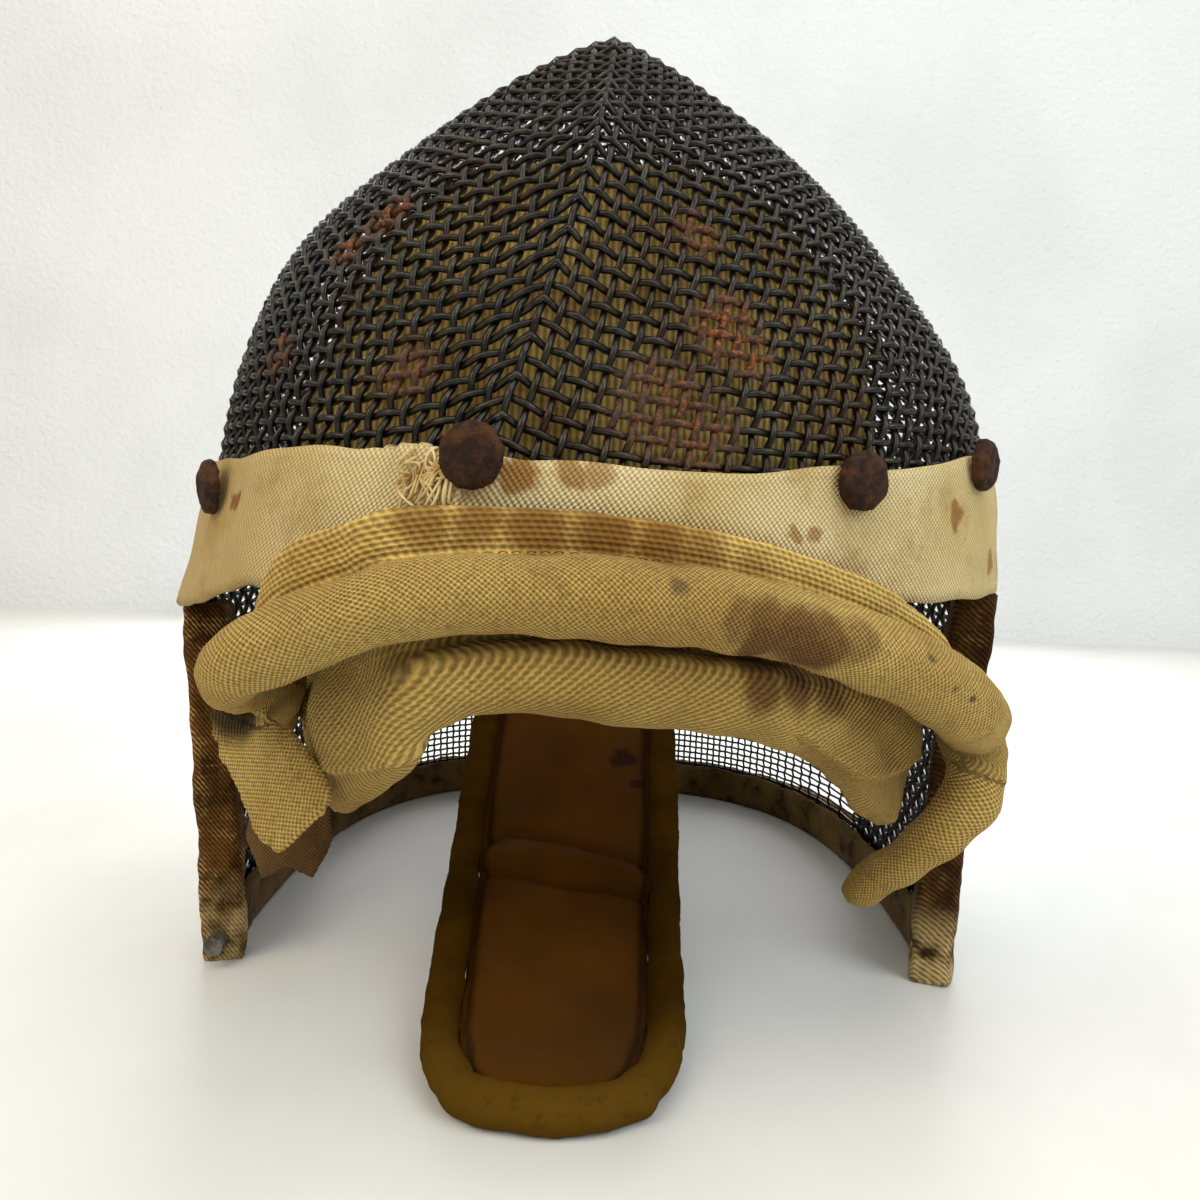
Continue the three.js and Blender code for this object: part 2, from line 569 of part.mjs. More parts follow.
function tonguePiping() {
  const at = tonguePath();
  const reach = PIPING.radius + GAP + PIPING.seam;
  const spine = [];
  const { sideSteps } = PIPING;
  for (let i = sideSteps; i >= 1; i -= 1) {
    spine.push({ share: i / sideSteps, side: -1 });
  }
  spine.push({ share: 0, side: -1 }, { share: 0, side: -0.55, tip: 1 }, { share: 0, side: 0, tip: 1 });
  spine.push({ share: 0, side: 0.55, tip: 1 }, { share: 0, side: 1 });
  for (let i = 1; i <= sideSteps; i += 1) {
    spine.push({ share: i / sideSteps, side: 1 });
  }
  const points = spine.map(({ share, side, tip }) => {
    const { p, up, half } = at(share);
    const drop = -PAD.thick / 2 - PIPING.drop;
    const forward = share === 0 ? (tip ? reach + 1.2 : reach * 0.45) : 0;
    const across = tip ? side * (half + 1) : side * (half + reach - (share === 0 ? 0.4 : 0));
    const z = Math.max(p.z + up.z * drop, PIPING.radius + 0.05);
    return V(PAD.mid + across, p.y + up.y * drop - forward, z);
  });
  const curve = new THREE.CatmullRomCurve3(points, false, 'centripetal');
  const circle = ellipse(PIPING.sides);
  const count = points.length + 8;
  const rings = Array.from({ length: count + 1 }, (_, i) => {
    const p = curve.getPoint(i / count);
    const ahead = curve.getTangent(i / count);
    const side = V(ahead.y, -ahead.x, 0);
    if (side.length() < 0.2) side.set(1, 0, 0);
    side.addScaledVector(ahead, -side.dot(ahead)).normalize();
    const up = V(0, 0, 0).crossVectors(side, ahead).normalize();
    side.multiplyScalar(PIPING.radius);
    up.multiplyScalar(PIPING.radius);
    return circle.map(([u, v]) => p.clone().addScaledVector(side, u).addScaledVector(up, v));
  });
  return loft(rings, circle);
}

// Plain plate that stands for the hidden fastening between tongue root and crown mesh
function anchor() {
  const wallY = (x, z) => {
    const p = cagePoint(z, 180, CAGE.wall + GAP);
    return p.y - (x * x) / ANCHOR.bow;
  };
  const rings = [-0.5, -0.25, 0, 0.25, 0.5].map((share) => {
    const x = PAD.mid + share * ANCHOR.width;
    return [-0.5, 0.5].flatMap((up) => {
      const z = ANCHOR.z + up * ANCHOR.tall;
      const near = V(x, ANCHOR.nearY, z);
      const far = V(x, wallY(x, z), z);
      return up < 0 ? [near, far] : [far, near];
    });
  });
  return loft(rings, [[0, 0], [1, 0], [1, 1], [0, 1]]);
}

function scrap() {
  const rings = SCRAP_ROWS.map(({ along, low, high }) => {
    const x = SCRAP.x0 + (SCRAP.x1 - SCRAP.x0) * along;
    const y = SCRAP.y - SCRAP.bow * Math.sin(Math.PI * along);
    const at = (share, depth) => V(x, y + depth, SCRAP.z0 + (SCRAP.z1 - SCRAP.z0) * share);
    return [at(low, 0), at(high, 0), at(high, SCRAP.thick), at(low, SCRAP.thick)];
  });
  return loft(rings, [[0, 0], [1, 0], [1, 1], [0, 1]]);
}

function tipPin(sign) {
  const geometry = new THREE.CylinderGeometry(TIP_PIN.radius, TIP_PIN.radius, TIP_PIN.length, 10);
  geometry.deleteAttribute('normal');
  geometry.deleteAttribute('uv');
  const p = cagePoint(CAGE.rim, sign * turnAt(CAGE.rim, 0, sign), CAGE.wall / 2);
  geometry.translate(p.x, JAW_TAPE.startY - GAP - TIP_PIN.length / 2 - 0.2, 6);
  return mergeVertices(geometry, 1e-4);
}

const NODES = [
  { name: 'mesh_cage', look: 'wire', geometry: cageGeometry() },
  { name: 'crown_binding', look: 'tape', geometry: rimTape() },
  { name: 'jaw_binding_left', look: 'jaw', geometry: jawTape(-1) },
  { name: 'jaw_binding_right', look: 'jaw', geometry: jawTape(1) },
  { name: 'tip_pin_left', look: 'steel', geometry: tipPin(-1) },
  { name: 'chin_band', look: 'canvas', geometry: band() },
  ...RIVETS.map((row) => ({ name: row.name, look: 'rust', geometry: rivet(row) })),
  { name: 'bib_roll', look: 'tan', geometry: bibRoll() },
  { name: 'bib_inner', look: 'tan', geometry: bibInner() },
  { name: 'chin_lining', look: 'lining', geometry: chinLining() },
  { name: 'tongue_pad', look: 'leather', geometry: tonguePad() },
  { name: 'tongue_piping', look: 'suede', geometry: tonguePiping() },
  { name: 'tongue_anchor', look: 'steel', geometry: anchor() },
  { name: 'lining_scrap', look: 'lining', geometry: scrap() },
];

// The origin sits under the middle of the whole, on the table
const whole = new THREE.Box3();
for (const { geometry } of NODES) {
  geometry.computeBoundingBox();
  whole.union(geometry.boundingBox);
}
const middle = whole.getCenter(V(0, 0, 0));
const group = new THREE.Group();
group.name = 'fencing_mask';
for (const { name, look, geometry } of NODES) {
  geometry.translate(-middle.x, -middle.y, -whole.min.z);
  const flat = geometry.toNonIndexed();
  flat.computeVertexNormals();
  const mesh = new THREE.Mesh(flat, new THREE.MeshStandardMaterial(COLOURS[look]));
  mesh.name = name;
  group.add(mesh);
}

export default group;
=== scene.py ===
import math

import bpy
import numpy as np
from mathutils import Matrix, Vector


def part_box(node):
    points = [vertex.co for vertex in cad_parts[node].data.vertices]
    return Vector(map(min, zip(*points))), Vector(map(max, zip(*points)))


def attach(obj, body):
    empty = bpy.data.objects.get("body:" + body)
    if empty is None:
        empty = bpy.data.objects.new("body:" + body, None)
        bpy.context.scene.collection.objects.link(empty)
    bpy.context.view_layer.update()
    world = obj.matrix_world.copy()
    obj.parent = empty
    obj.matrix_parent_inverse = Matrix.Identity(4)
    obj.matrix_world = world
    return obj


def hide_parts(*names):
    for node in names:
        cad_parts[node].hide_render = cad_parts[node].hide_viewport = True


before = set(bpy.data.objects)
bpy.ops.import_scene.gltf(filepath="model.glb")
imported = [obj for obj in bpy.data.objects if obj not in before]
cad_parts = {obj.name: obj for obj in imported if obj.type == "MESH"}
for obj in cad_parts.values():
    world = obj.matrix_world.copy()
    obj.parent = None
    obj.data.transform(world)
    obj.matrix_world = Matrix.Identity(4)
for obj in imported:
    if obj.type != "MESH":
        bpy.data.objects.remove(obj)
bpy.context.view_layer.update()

# Work is in millimetres with the jaw tips in the plane Y = 0; SHIFT brings it to the row frame
FAR_RIM_Y = 161.0
SHIFT = np.array([0.0, FAR_RIM_Y - 1000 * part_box("mesh_cage")[1][1], 0.0])

# Cage skin
RIDGE_Y, RIDGE_TOP, RIDGE_FOOT = 48.0, 235.0, 90.0
NEAR_REACH, FAR_REACH, NEAR_POWER, FAR_POWER = 125.0, 113.0, 2.15, 2.4
HALF_WIDTH, WIDEST, PROW, SOFT_PROW = 98.4, 0.42, 0.955, 0.985
CREASE_SWING, CREASE_LEAN = -27.0, 3.0
CREASE_REACH, CREASE_POWER = 127, 4
TOP_INSET, FOOT_TAPER, FOOT_PROW = 1.15, 0.03, 0.55
CROWN_POWER, CROWN_SQUARE = 2.3, 0.6
CHIN_Z, JAW_Y = 100.0, 2.0
WIDTHS = np.array([
    # up, left, right
    (0.0, 1.0, 1.0),
    (0.2, 0.965, 1.01),
    (0.4, 0.919, 0.947),
    (0.6, 0.795, 0.742),
    (0.75, 0.56, 0.53),
    (0.9, 0.27, 0.23),
    (1.0, 0.0, 0.0),
])

# Woven wire
WIRE_RADIUS = 0.72
WIRE_SIDES = 5
CRIMP = 0.68
WIRE_DEPTH = 0.8
RING_PITCH = 3.5
WARP_PITCH = 3.95
SIDE_PITCH = 3.9
FRONT_TURN, FAR_TURN, CHEEK_TURN = 70.0, 115.0, -60.0
MID_Z, SPARE_LEVELS = 140.0, 16
# Finer panel round the crown; its wires lap past the border by some degrees
REAR_PITCH, REAR_CRIMP, REAR_RADIUS, REAR_LAP = 2.3, 0.4, 0.42, 1.5
# Height where the ridge's own wires take over, their overlap, the reach of a wire that joins, and their count
CAP_Z, CAP_LAP, CAP_REACH, CAP_COLUMNS = 214.0, 0.6, 6.0, 13
FOOT_Z, FOOT_RING_Z, END_GAP = 5.0, 5.5, 1.2
FRONT_STEP, SIDE_STEP = 1 / 3, 1 / 2
BACK_TURN = 179.0
CHEVRON, CHEVRON_REACH = 8.0, 13.0
CHEVRON_FOOT, CHEVRON_RISE, CHEVRON_FADE = 102, 15, 25

BAND_EDGE = np.array([
    # turn, low, high, flare
    (-84, 91.5, 124.5, 2.5),
    (-63, 92.5, 125, 2),
    (-50, 97, 126, 1),
    (-40, 101, 127, 0.6),
    (-24, 102, 128, 0.3),
    (0, 102, 127, 0),
    (30, 101.5, 126, 0.2),
    (60, 101, 131, 1.2),
    (84, 101, 136, 2),
], float)

FRAYS, FRAY_RADIUS = 34, 0.27

ROLL = np.array([
    # turn, inset, z, radius
    (-63, 13, 62.5, 5.5),
    (-58, 12, 68, 6.5),
    (-50, 9, 74.5, 7.2),
    (-40, 5, 81, 7.6),
    (-33, -2, 85, 7.6),
    (-27, -9, 88.3, 7.4),
    (-18, -12, 93.8, 7.3),
    (-9, -12, 98.7, 7),
    (0, -12, 101, 6.9),
    (18, -12, 104.4, 7.1),
    (32, -12, 100.2, 7.5),
    (44, -12, 90.5, 8),
    (52, -11, 81.5, 8.8),
    (60, -4.5, 75.5, 8.8),
    (67, 1, 71, 8.2),
], float)
BIB_Z = 105.0
SEAM_OUT, SEAM_TURNS = -3.0, (-46.0, 61.0)
STITCH, STITCH_PITCH, STITCH_RADIUS = 1.5, 2.4, 0.24
# Swelling of the inner roll, and hollow under the outer roll's left end, which is dented and given painted
# shade
LOBE, LOBE_SIZE = np.array([-40.0, -66.0, 78.0]), np.array([16.0, 14.0, 8.0])
RECESS, RECESS_SIZE = np.array([-67.0, -57.0, 77.0]), np.array([5.0, 6.0, 4.5])
# Folded corner under the left end: a point on it, its run and its width direction
CORNER_AT = np.array([-55.0, -69.0, 67.0])
CORNER_RUN, CORNER_WIDE = np.array([0.58, -0.55, -0.6]), np.array([0.72, 0.0, 0.69])
TAIL = np.array([
    # x, y, z
    (88.6, -23.5, 63.5),
    (85.6, -27, 54),
    (78, -25, 44.5),
    (71, -21.5, 36.5),
    (63.5, -17, 28.5),
], float)

INNER = np.array([
    # turn, inset, top, low
    (-68, 21, 73, 57),
    (-60, 22.6, 80, 53),
    (-51, 21.6, 85, 53),
    (-42, 18.5, 89, 54),
    (-32, 10.5, 91.4, 56),
    (-22, 3.5, 93, 60),
    (-14, 0.5, 92.5, 66),
    (-6, -3.5, 92, 72.5),
    (2, -5, 93.6, 78),
    (10, -6, 95.4, 83.5),
    (20, -6, 96.2, 81.8),
    (32, -3.8, 91.8, 76.5),
    (41, 2.5, 87, 67),
    (49, 7, 84, 54),
    (56, 8.5, 81, 49),
    (64, 11, 76, 54),
], float)
# Lower edge of the front layer of twill at both ends, as (x, z)
HEM_LEFT = [(-60, 66), (-44.7, 69.6), (-26.8, 76.4), (-18, 81)]
HEM_RIGHT = [(36, 81), (42, 76.2), (47.2, 71.8), (55.6, 65.6), (63, 63.4), (80, 62)]


def smooth(keys, values, t):
    """Smooth curve through a table's points."""
    t = np.asarray(t, float)
    slope = np.empty(len(keys))
    slope[1:-1] = (values[2:] - values[:-2]) / (keys[2:] - keys[:-2])
    slope[0] = (values[1] - values[0]) / (keys[1] - keys[0])
    slope[-1] = (values[-1] - values[-2]) / (keys[-1] - keys[-2])
    i = np.clip(np.searchsorted(keys, t, side="right") - 1, 0, len(keys) - 2)
    h = keys[i + 1] - keys[i]
    s = np.clip((t - keys[i]) / h, 0, 1)
    a, b = (1 + 2 * s) * (1 - s) ** 2, s * (1 - s) ** 2
    c, d = s * s * (3 - 2 * s), s * s * (s - 1)
    return a * values[i] + b * h * slope[i] + c * values[i + 1] + d * h * slope[i + 1]


def levels(z, inset=0.0):
    """Nearest, farthest and widest Y and the half widths of the cage at a height."""
    top = RIDGE_TOP - TOP_INSET * inset
    up = np.clip((z - RIDGE_FOOT) / (top - RIDGE_FOOT), 0, 1)
    low = np.clip((RIDGE_FOOT - z) / RIDGE_FOOT, 0, 1)
    near = RIDGE_Y - (NEAR_REACH - inset) * np.maximum(1 - up ** NEAR_POWER, 0) ** (1 / NEAR_POWER)
    far = RIDGE_Y + (FAR_REACH - inset) * np.maximum(1 - up ** FAR_POWER, 0) ** (1 / FAR_POWER)
    wide = near + WIDEST * (far - near)
    half = HALF_WIDTH * (1 - FOOT_TAPER * low) - inset
    left = half * smooth(WIDTHS[:, 0], WIDTHS[:, 1], up)
    right = half * smooth(WIDTHS[:, 0], WIDTHS[:, 2], up)
    return near, far, wide, left, right, low


def share_at(along, low, prow):
    """Share of the half width at a position along the plan, 1 at the chin and -1 at the crown."""
    k = prow * (1 - FOOT_PROW * low)
    k0 = np.sqrt(1 - k * k)
    front = (np.sqrt(np.maximum(1 - k * k * along * along, 0)) - k0) / (1 - k0)
    power = CROWN_POWER + CROWN_SQUARE * low
    back = np.maximum(1 - np.maximum(-along, 0) ** power, 0) ** (1 / power)
    return np.where(along >= 0, front, back)


def crease_x(z, y):
    drop = np.clip((RIDGE_TOP - z) / (RIDGE_TOP - CHIN_Z), 0, 1)
    ahead = np.clip((RIDGE_Y - y) / CREASE_REACH, 0, 1.1)
    return CREASE_SWING * drop * ahead ** CREASE_POWER + CREASE_LEAN * (1 - drop) * ahead


def cage(z, turn, inset=0.0, prow=PROW):
    """Points of the cage skin moved inward by inset: turn 0 is the chin crease and 90 the right side."""
    z, turn = np.broadcast_arrays(np.asarray(z, float), np.asarray(turn, float))
    near, far, wide, left, right, low = levels(z, inset)
    along = np.cos(np.radians(turn))
    y = np.where(along >= 0, wide - (wide - near) * along, wide - (far - wide) * along)
    half = np.where(turn < 0, left, right)
    x = crease_x(z, y) + np.sign(turn) * half * share_at(along, low, prow)
    return np.stack([x, y, z], -1)


def outward(z, turn, prow=PROW):
    """Level outward direction of the cage."""
    a, b = cage(z, np.asarray(turn) - 1.5, 0, prow), cage(z, np.asarray(turn) + 1.5, 0, prow)
    d = np.stack([b[..., 1] - a[..., 1], a[..., 0] - b[..., 0], 0 * a[..., 0]], -1)
    return unit(d)


def skin_normal(z, turn):
    """Outward normal of the cage skin."""
    dt = cage(z, turn + 0.7) - cage(z, turn - 0.7)
    dz = cage(z + 0.4, turn) - cage(z - 0.4, turn)
    return unit(np.cross(dt, dz))


def wobble(points, size, seed, waves=7):
    """Smooth noise of about -1 to 1 with features of the given size."""
    rng = np.random.default_rng(seed)
    total = np.zeros(len(points))
    for _ in range(waves):
        d = rng.normal(size=3)
        d *= 2 * math.pi / (size * rng.uniform(0.7, 1.6)) / np.linalg.norm(d)
        total += np.sin(points @ d + rng.uniform(0, 6.28))
    return total / math.sqrt(waves)


def unit(v):
    return v / np.maximum(np.linalg.norm(v, axis=-1, keepdims=True), 1e-9)


def add_object(name, mesh):
    obj = bpy.data.objects.new(name, mesh)
    bpy.context.scene.collection.objects.link(obj)
    mesh.polygons.foreach_set("use_smooth", [True] * len(mesh.polygons))
    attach(obj, "root")
    return obj


def make_mesh(name, points, faces):
    """Mesh from points in millimetres."""
    mesh = bpy.data.meshes.new(name)
    mesh.from_pydata(((np.asarray(points) - SHIFT) * 0.001).tolist(), [], faces)
    mesh.validate()
    mesh.update()
    return mesh


def set_cloth(mesh, u, v, mask=0.0):
    """Cloth coordinates in millimetres and a mask, kept on the mesh's points."""
    data = np.zeros((len(mesh.vertices), 3), np.float32)
    data[:, 0], data[:, 1], data[:, 2] = u, v, mask
    mesh.attributes.new("cloth", "FLOAT_VECTOR", "POINT").data.foreach_set("vector", data.ravel())


def read_points(mesh):
    co = np.empty(3 * len(mesh.vertices), np.float32)
    mesh.vertices.foreach_get("co", co)
    return co.reshape(-1, 3).astype(float) * 1000 + SHIFT


def read_normals(mesh):
    no = np.empty(3 * len(mesh.vertices), np.float32)
    mesh.vertices.foreach_get("normal", no)
    return no.reshape(-1, 3).astype(float)


def write_points(mesh, points):
    mesh.vertices.foreach_set("co", ((points - SHIFT) * 0.001).astype(np.float32).ravel())
    mesh.update()


def remeshed(node, voxel, rounds):
    """A fine, evenly meshed and smoothed copy of a CAD solid."""
    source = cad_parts[node]
    copy = bpy.data.objects.new("copy", source.data.copy())
    copy.matrix_world = source.matrix_world
    bpy.context.scene.collection.objects.link(copy)
    fine = copy.modifiers.new("fine", "REMESH")
    fine.mode = "VOXEL"
    fine.voxel_size = voxel * 0.001
    soft = copy.modifiers.new("soft", "SMOOTH")
    soft.iterations = rounds
    soft.factor = 0.5
    graph = bpy.context.evaluated_depsgraph_get()
    mesh = bpy.data.meshes.new_from_object(copy.evaluated_get(graph))
    mesh.transform(source.matrix_world)
    mesh.materials.clear()
    old = copy.data
    bpy.data.objects.remove(copy)
    bpy.data.meshes.remove(old)
    return mesh


def follow(points, path):
    """Arc length along a path, and the offset from it, of each point."""
    seg = np.diff(path, axis=0)
    size = np.linalg.norm(seg, axis=1)
    start = arc_length(path)[:-1]
    best = np.full(len(points), 1e18)
    s = np.zeros(len(points))
    offset = np.zeros((len(points), 3))
    tangent = np.zeros((len(points), 3))
    for i in range(len(seg)):
        t = np.clip((points - path[i]) @ seg[i] / size[i] ** 2, 0, 1)
        d = points - path[i] - t[:, None] * seg[i]
        q = (d * d).sum(1)
        k = q < best
        best[k] = q[k]
        s[k] = start[i] + t[k] * size[i]
        offset[k] = d[k]
        tangent[k] = seg[i] / size[i]
    return s, offset, tangent


def section_of(points, path):
    """Arc length along a path, and the outward and upward offset from it, of each point."""
    s, offset, tangent = follow(points, path)
    side = unit(np.cross(tangent, np.array([0.0, 0.0, 1.0])))
    top = np.cross(side, tangent)
    return s, (offset * side).sum(1), (offset * top).sum(1)


def arc_length(points):
    return np.concatenate([[0], np.cumsum(np.linalg.norm(np.diff(points, axis=0), axis=1))])


def eased(path, rounds):
    """A path with its bends rounded off."""
    path = path.copy()
    for _ in range(rounds):
        path[1:-1] = (path[:-2] + 2 * path[1:-1] + path[2:]) / 4
    return path


def softened(mesh, values, rounds):
    """Values on a mesh's points, averaged along its edges."""
    ends = np.empty(2 * len(mesh.edges), np.int32)
    mesh.edges.foreach_get("vertices", ends)
    a, b = ends[0::2], ends[1::2]
    count = np.bincount(ends, minlength=len(values))
    for _ in range(rounds):
        total = np.bincount(a, values[b], len(values)) + np.bincount(b, values[a], len(values))
        values = (values + total / np.maximum(count, 1)) / 2
    return values


def step(value, low, high):
    t = np.clip((value - low) / (high - low), 0, 1)
    return t * t * (3 - 2 * t)


# Tubes

def tube_arrays(path, normals, radius, sides):
    ahead = unit(np.gradient(path, axis=0))
    side = unit(np.cross(ahead, normals))
    top = np.cross(side, ahead)
    a = 2 * math.pi * np.arange(sides) / sides
    ring = np.cos(a)[None, :, None] * side[:, None] + np.sin(a)[None, :, None] * top[:, None]
    points = (path[:, None] + radius * ring).reshape(-1, 3)
    n = len(path)
    i, j = np.meshgrid(np.arange(n - 1), np.arange(sides), indexing="ij")
    k = (j + 1) % sides
    quads = np.stack([i * sides + j, i * sides + k, (i + 1) * sides + k, (i + 1) * sides + j], -1)
    caps = [list(range(sides)), list(range(n * sides - 1, (n - 1) * sides - 1, -1))]
    return points, quads.reshape(-1, 4)[:, ::-1], caps


def tubes_mesh(name, wires, radius):
    """One mesh of many round wires; each wire is its path and the normals along it."""
    points, faces, base = [], [], 0
    for path, normals in wires:
        if len(path) < 3:
            continue
        p, quads, caps = tube_arrays(path, normals, radius, WIRE_SIDES)
        points.append(p)
        faces.extend((quads + base).tolist())
        faces.extend([[base + v for v in cap] for cap in caps])
        base += len(p)
    return make_mesh(name, np.concatenate(points), faces)


# Woven wire cage

def offset_levels(side):
    """Offsets from the crease plane of the upright wires, evenly spaced round the cage at mid height."""
    turn = np.linspace(0.001, FRONT_TURN, 400) * side
    p = cage(MID_Z, turn)
    x = np.abs(p[:, 0] - crease_x(MID_Z, p[:, 1]))
    s = arc_length(p)
    inside = np.interp(np.arange(0, s[-1], WARP_PITCH), s, x)
    last = inside[-1] - inside[-2]
    return np.concatenate([inside, inside[-1] + last * np.arange(1, SPARE_LEVELS)])


LEFT_LEVELS, RIGHT_LEVELS = offset_levels(-1), offset_levels(1)
REAR_LEVELS = np.arange(0, 46) * REAR_PITCH
SIDE_LEVELS = np.arange(-16, 132, SIDE_PITCH)

TURNS = np.linspace(0.001, 180, 1441)
ZONES = {"front": (0, FRONT_TURN), "side": (FRONT_TURN, FAR_TURN), "rear": (FAR_TURN, 180)}


def ring_heights():
    """Heights of the level wires, evenly spaced up the left cheek."""
    z = np.linspace(FOOT_RING_Z, CAP_Z, 900)
    s = arc_length(cage(z, CHEEK_TURN))
    return np.interp(np.linspace(0, s[-1], int(s[-1] / RING_PITCH)), s, z)


RING_Z = ring_heights()


def chevron(z, x):
    fade = np.clip((z - CHEVRON_FOOT) / CHEVRON_RISE, 0, 1) * np.clip((CAP_Z - z) / CHEVRON_FADE, 0, 1)
    return CHEVRON * fade * np.exp(-np.abs(x) / CHEVRON_REACH)


def zone_row(z, side, zone):
    """Across a zone at one height: offsets from the crease plane, or Y at the sides, and their turns."""
    low, high = ZONES[zone]
    turn = TURNS[(TURNS >= low) & (TURNS <= high)]
    p = cage(z, side * turn)
    return p[:, 1] if zone == "side" else np.abs(p[:, 0] - crease_x(z, p[:, 1])), turn


def finely(table, stride):
    """Steps along a table of wires, as counts and as places."""
    q = np.arange(0, len(table) - 1, stride)
    return q, np.interp(q, np.arange(len(table)), table)


def crimped(z, turn, phase, crimp=CRIMP):
    n = skin_normal(z, np.clip(turn, -BACK_TURN, BACK_TURN))
    base = cage(z, turn) - n * WIRE_DEPTH
    return base + n * (crimp * np.cos(math.pi * phase))[:, None], n


def ring_wire(number):
    """One level wire round the cage; below the chin it runs from jaw edge to jaw edge."""
    z0 = RING_Z[number]
    open_front = z0 < CHIN_Z + 1

    def stretch(side, zone):
        row, turn = zone_row(z0, side, zone)
        if zone == "front":
            q, want = finely(LEFT_LEVELS if side < 0 else RIGHT_LEVELS, FRONT_STEP)
            k = want < row[-1]
            return side * np.interp(want[k], row, turn), q[k] + number, z0 + chevron(z0, want[k])
        q, want = finely(SIDE_LEVELS, SIDE_STEP)
        k = (want > (max(row[0], JAW_Y + END_GAP) if open_front else row[0])) & (want < row[-1])
        t = np.append(np.interp(want[k], row, turn), FAR_TURN + REAR_LAP)
        q = np.append(q[k], q[k][-1] + 1 if k.any() else 0)
        return side * t, q + number, np.full(len(t), z0)

    left, right = [(-1, "side")], [(1, "side")]
    runs = [left, right] if open_front else [left + [(-1, "front"), (1, "front")] + right]
    wires = []
    for run in runs:
        parts = [[a[::side] for a in stretch(side, zone)] for side, zone in run]
        t, q, h = (np.concatenate(a) for a in zip(*parts))
        if len(t) > 3:
            wires.append(crimped(h, t, q))
    return wires


def top_height(x, y, side):
    """Height of the skin over a point near the ridge."""
    lo, hi = np.full(len(y), CAP_Z - 12.0), np.full(len(y), RIDGE_TOP - 0.02)
    for _ in range(36):
        z = (lo + hi) / 2
        near, far, wide, left, right, low = levels(z)
        span = np.where(y < wide, np.maximum(wide - near, 1e-6), np.maximum(far - wide, 1e-6))
        along = (wide - y) / span
        inside = np.abs(along) < 1
        half = np.where(side < 0, left, right) * share_at(np.clip(along, -1, 1), low, PROW)
        up = inside & (half > np.abs(x))
        lo, hi = np.where(up, z, lo), np.where(up, hi, z)
    return lo


def cap_points(x, y, phase):
    """Wire points over the ridge from plan positions."""
    side = np.where(x < 0, -1, 1)

    def at(a, b):
        z = top_height(a, b, side)
        return np.stack([crease_x(z, b) + a, b, z], -1)

    n = np.cross(at(x + 0.4, y) - at(x - 0.4, y), at(x, y + 0.4) - at(x, y - 0.4))
    n = unit(n)
    n = np.where(n[:, 2:] < 0, -n, n)
    return at(x, y) + n * (CRIMP * np.cos(math.pi * phase) - WIRE_DEPTH)[:, None], n


def upright(value, number, side, zone):
    """One upright wire of a zone on the wall, from its foot up."""
    foot = CHIN_Z + END_GAP if zone == "front" else FOOT_Z
    stride = FRONT_STEP if zone == "front" else SIDE_STEP
    count = np.arange(len(RING_Z))
    first = math.ceil(np.interp(foot, RING_Z, count) / stride) * stride
    r = np.arange(first, len(RING_Z) - 0.99, stride)
    z = np.interp(r, count, RING_Z)
    points = []
    for height, phase in zip(z, r):
        at_jaw = zone == "side" and value < JAW_Y + END_GAP and height < CHIN_Z + END_GAP
        if zone == "front":
            height = height + chevron(height, value)
        row, turn = zone_row(height, side, zone)
        if at_jaw or value >= row[-1] or (zone == "side" and value <= row[0]):
            continue
        points.append((height, side * np.interp(value, row, turn), phase))
    if len(points) < 3:
        return None
    rows, turns, phases = np.array(points).T
    return crimped(rows, turns, phases + number + 1)


def joined(parts):
    parts = [p for p in parts if p is not None and len(p[0]) > 1]
    return (np.concatenate([p[0] for p in parts]), np.concatenate([p[1] for p in parts])) if parts else None


def flipped(wire):
    return None if wire is None else (wire[0][::-1], wire[1][::-1])


def cap_warp(value, number, side):
    q, y = finely(SIDE_LEVELS, SIDE_STEP)
    x = np.full(len(y), side * max(value, 0.01))
    k = top_height(x, y, np.full(len(y), side)) > CAP_Z + CAP_LAP
    return cap_points(x[k], y[k], q[k] + number + 1) if k.sum() > 1 else None


def cap_weft(value, number):
    parts = []
    for side, table in ((-1, LEFT_LEVELS), (1, RIGHT_LEVELS)):
        q, x = finely(table[:CAP_COLUMNS], SIDE_STEP)
        x = side * np.maximum(x, 0.01)
        y = np.full(len(x), value)
        k = top_height(x, y, np.full(len(x), side)) > CAP_Z + CAP_LAP
        if k.sum() < 2:
            continue
        part = cap_points(x[k], y[k], q[k] + number)
        parts.append(flipped(part) if side < 0 else (part[0][1:], part[1][1:]))
    return joined(parts)


def reaches_cap(wire):
    return wire is not None and wire[0][-1, 2] > CAP_Z - CAP_REACH


def upright_wires():
    """Upright wires of the face and the sides, carried over the ridge, and the rear panel's border wires."""
    wires = []
    for side, table in ((-1, LEFT_LEVELS), (1, RIGHT_LEVELS)):
        for i, value in enumerate(table):
            if side > 0 and i == 0:
                continue
            front = upright(value, i, side, "front")
            wires.append(joined([front, cap_warp(value, i, side) if reaches_cap(front) else None]))
        rise = np.linspace(RING_Z[0], RING_Z[-1], 90)
        wires.append(crimped(rise, np.full(len(rise), side * FAR_TURN), np.full(len(rise), 0.5)))
    for j, value in enumerate(SIDE_LEVELS):
        left, right = upright(value, j, -1, "side"), upright(value, j, 1, "side")
        over = cap_weft(value, j)
        if over is None:
            wires += [left, right]
        else:
            chain = [left] if reaches_cap(left) else []
            chain.append(over)
            chain += [flipped(right)] if reaches_cap(right) else []
            wires.append(joined(chain))
            wires += [w for w in (left, right) if not reaches_cap(w)]
    return [w for w in wires if w is not None]


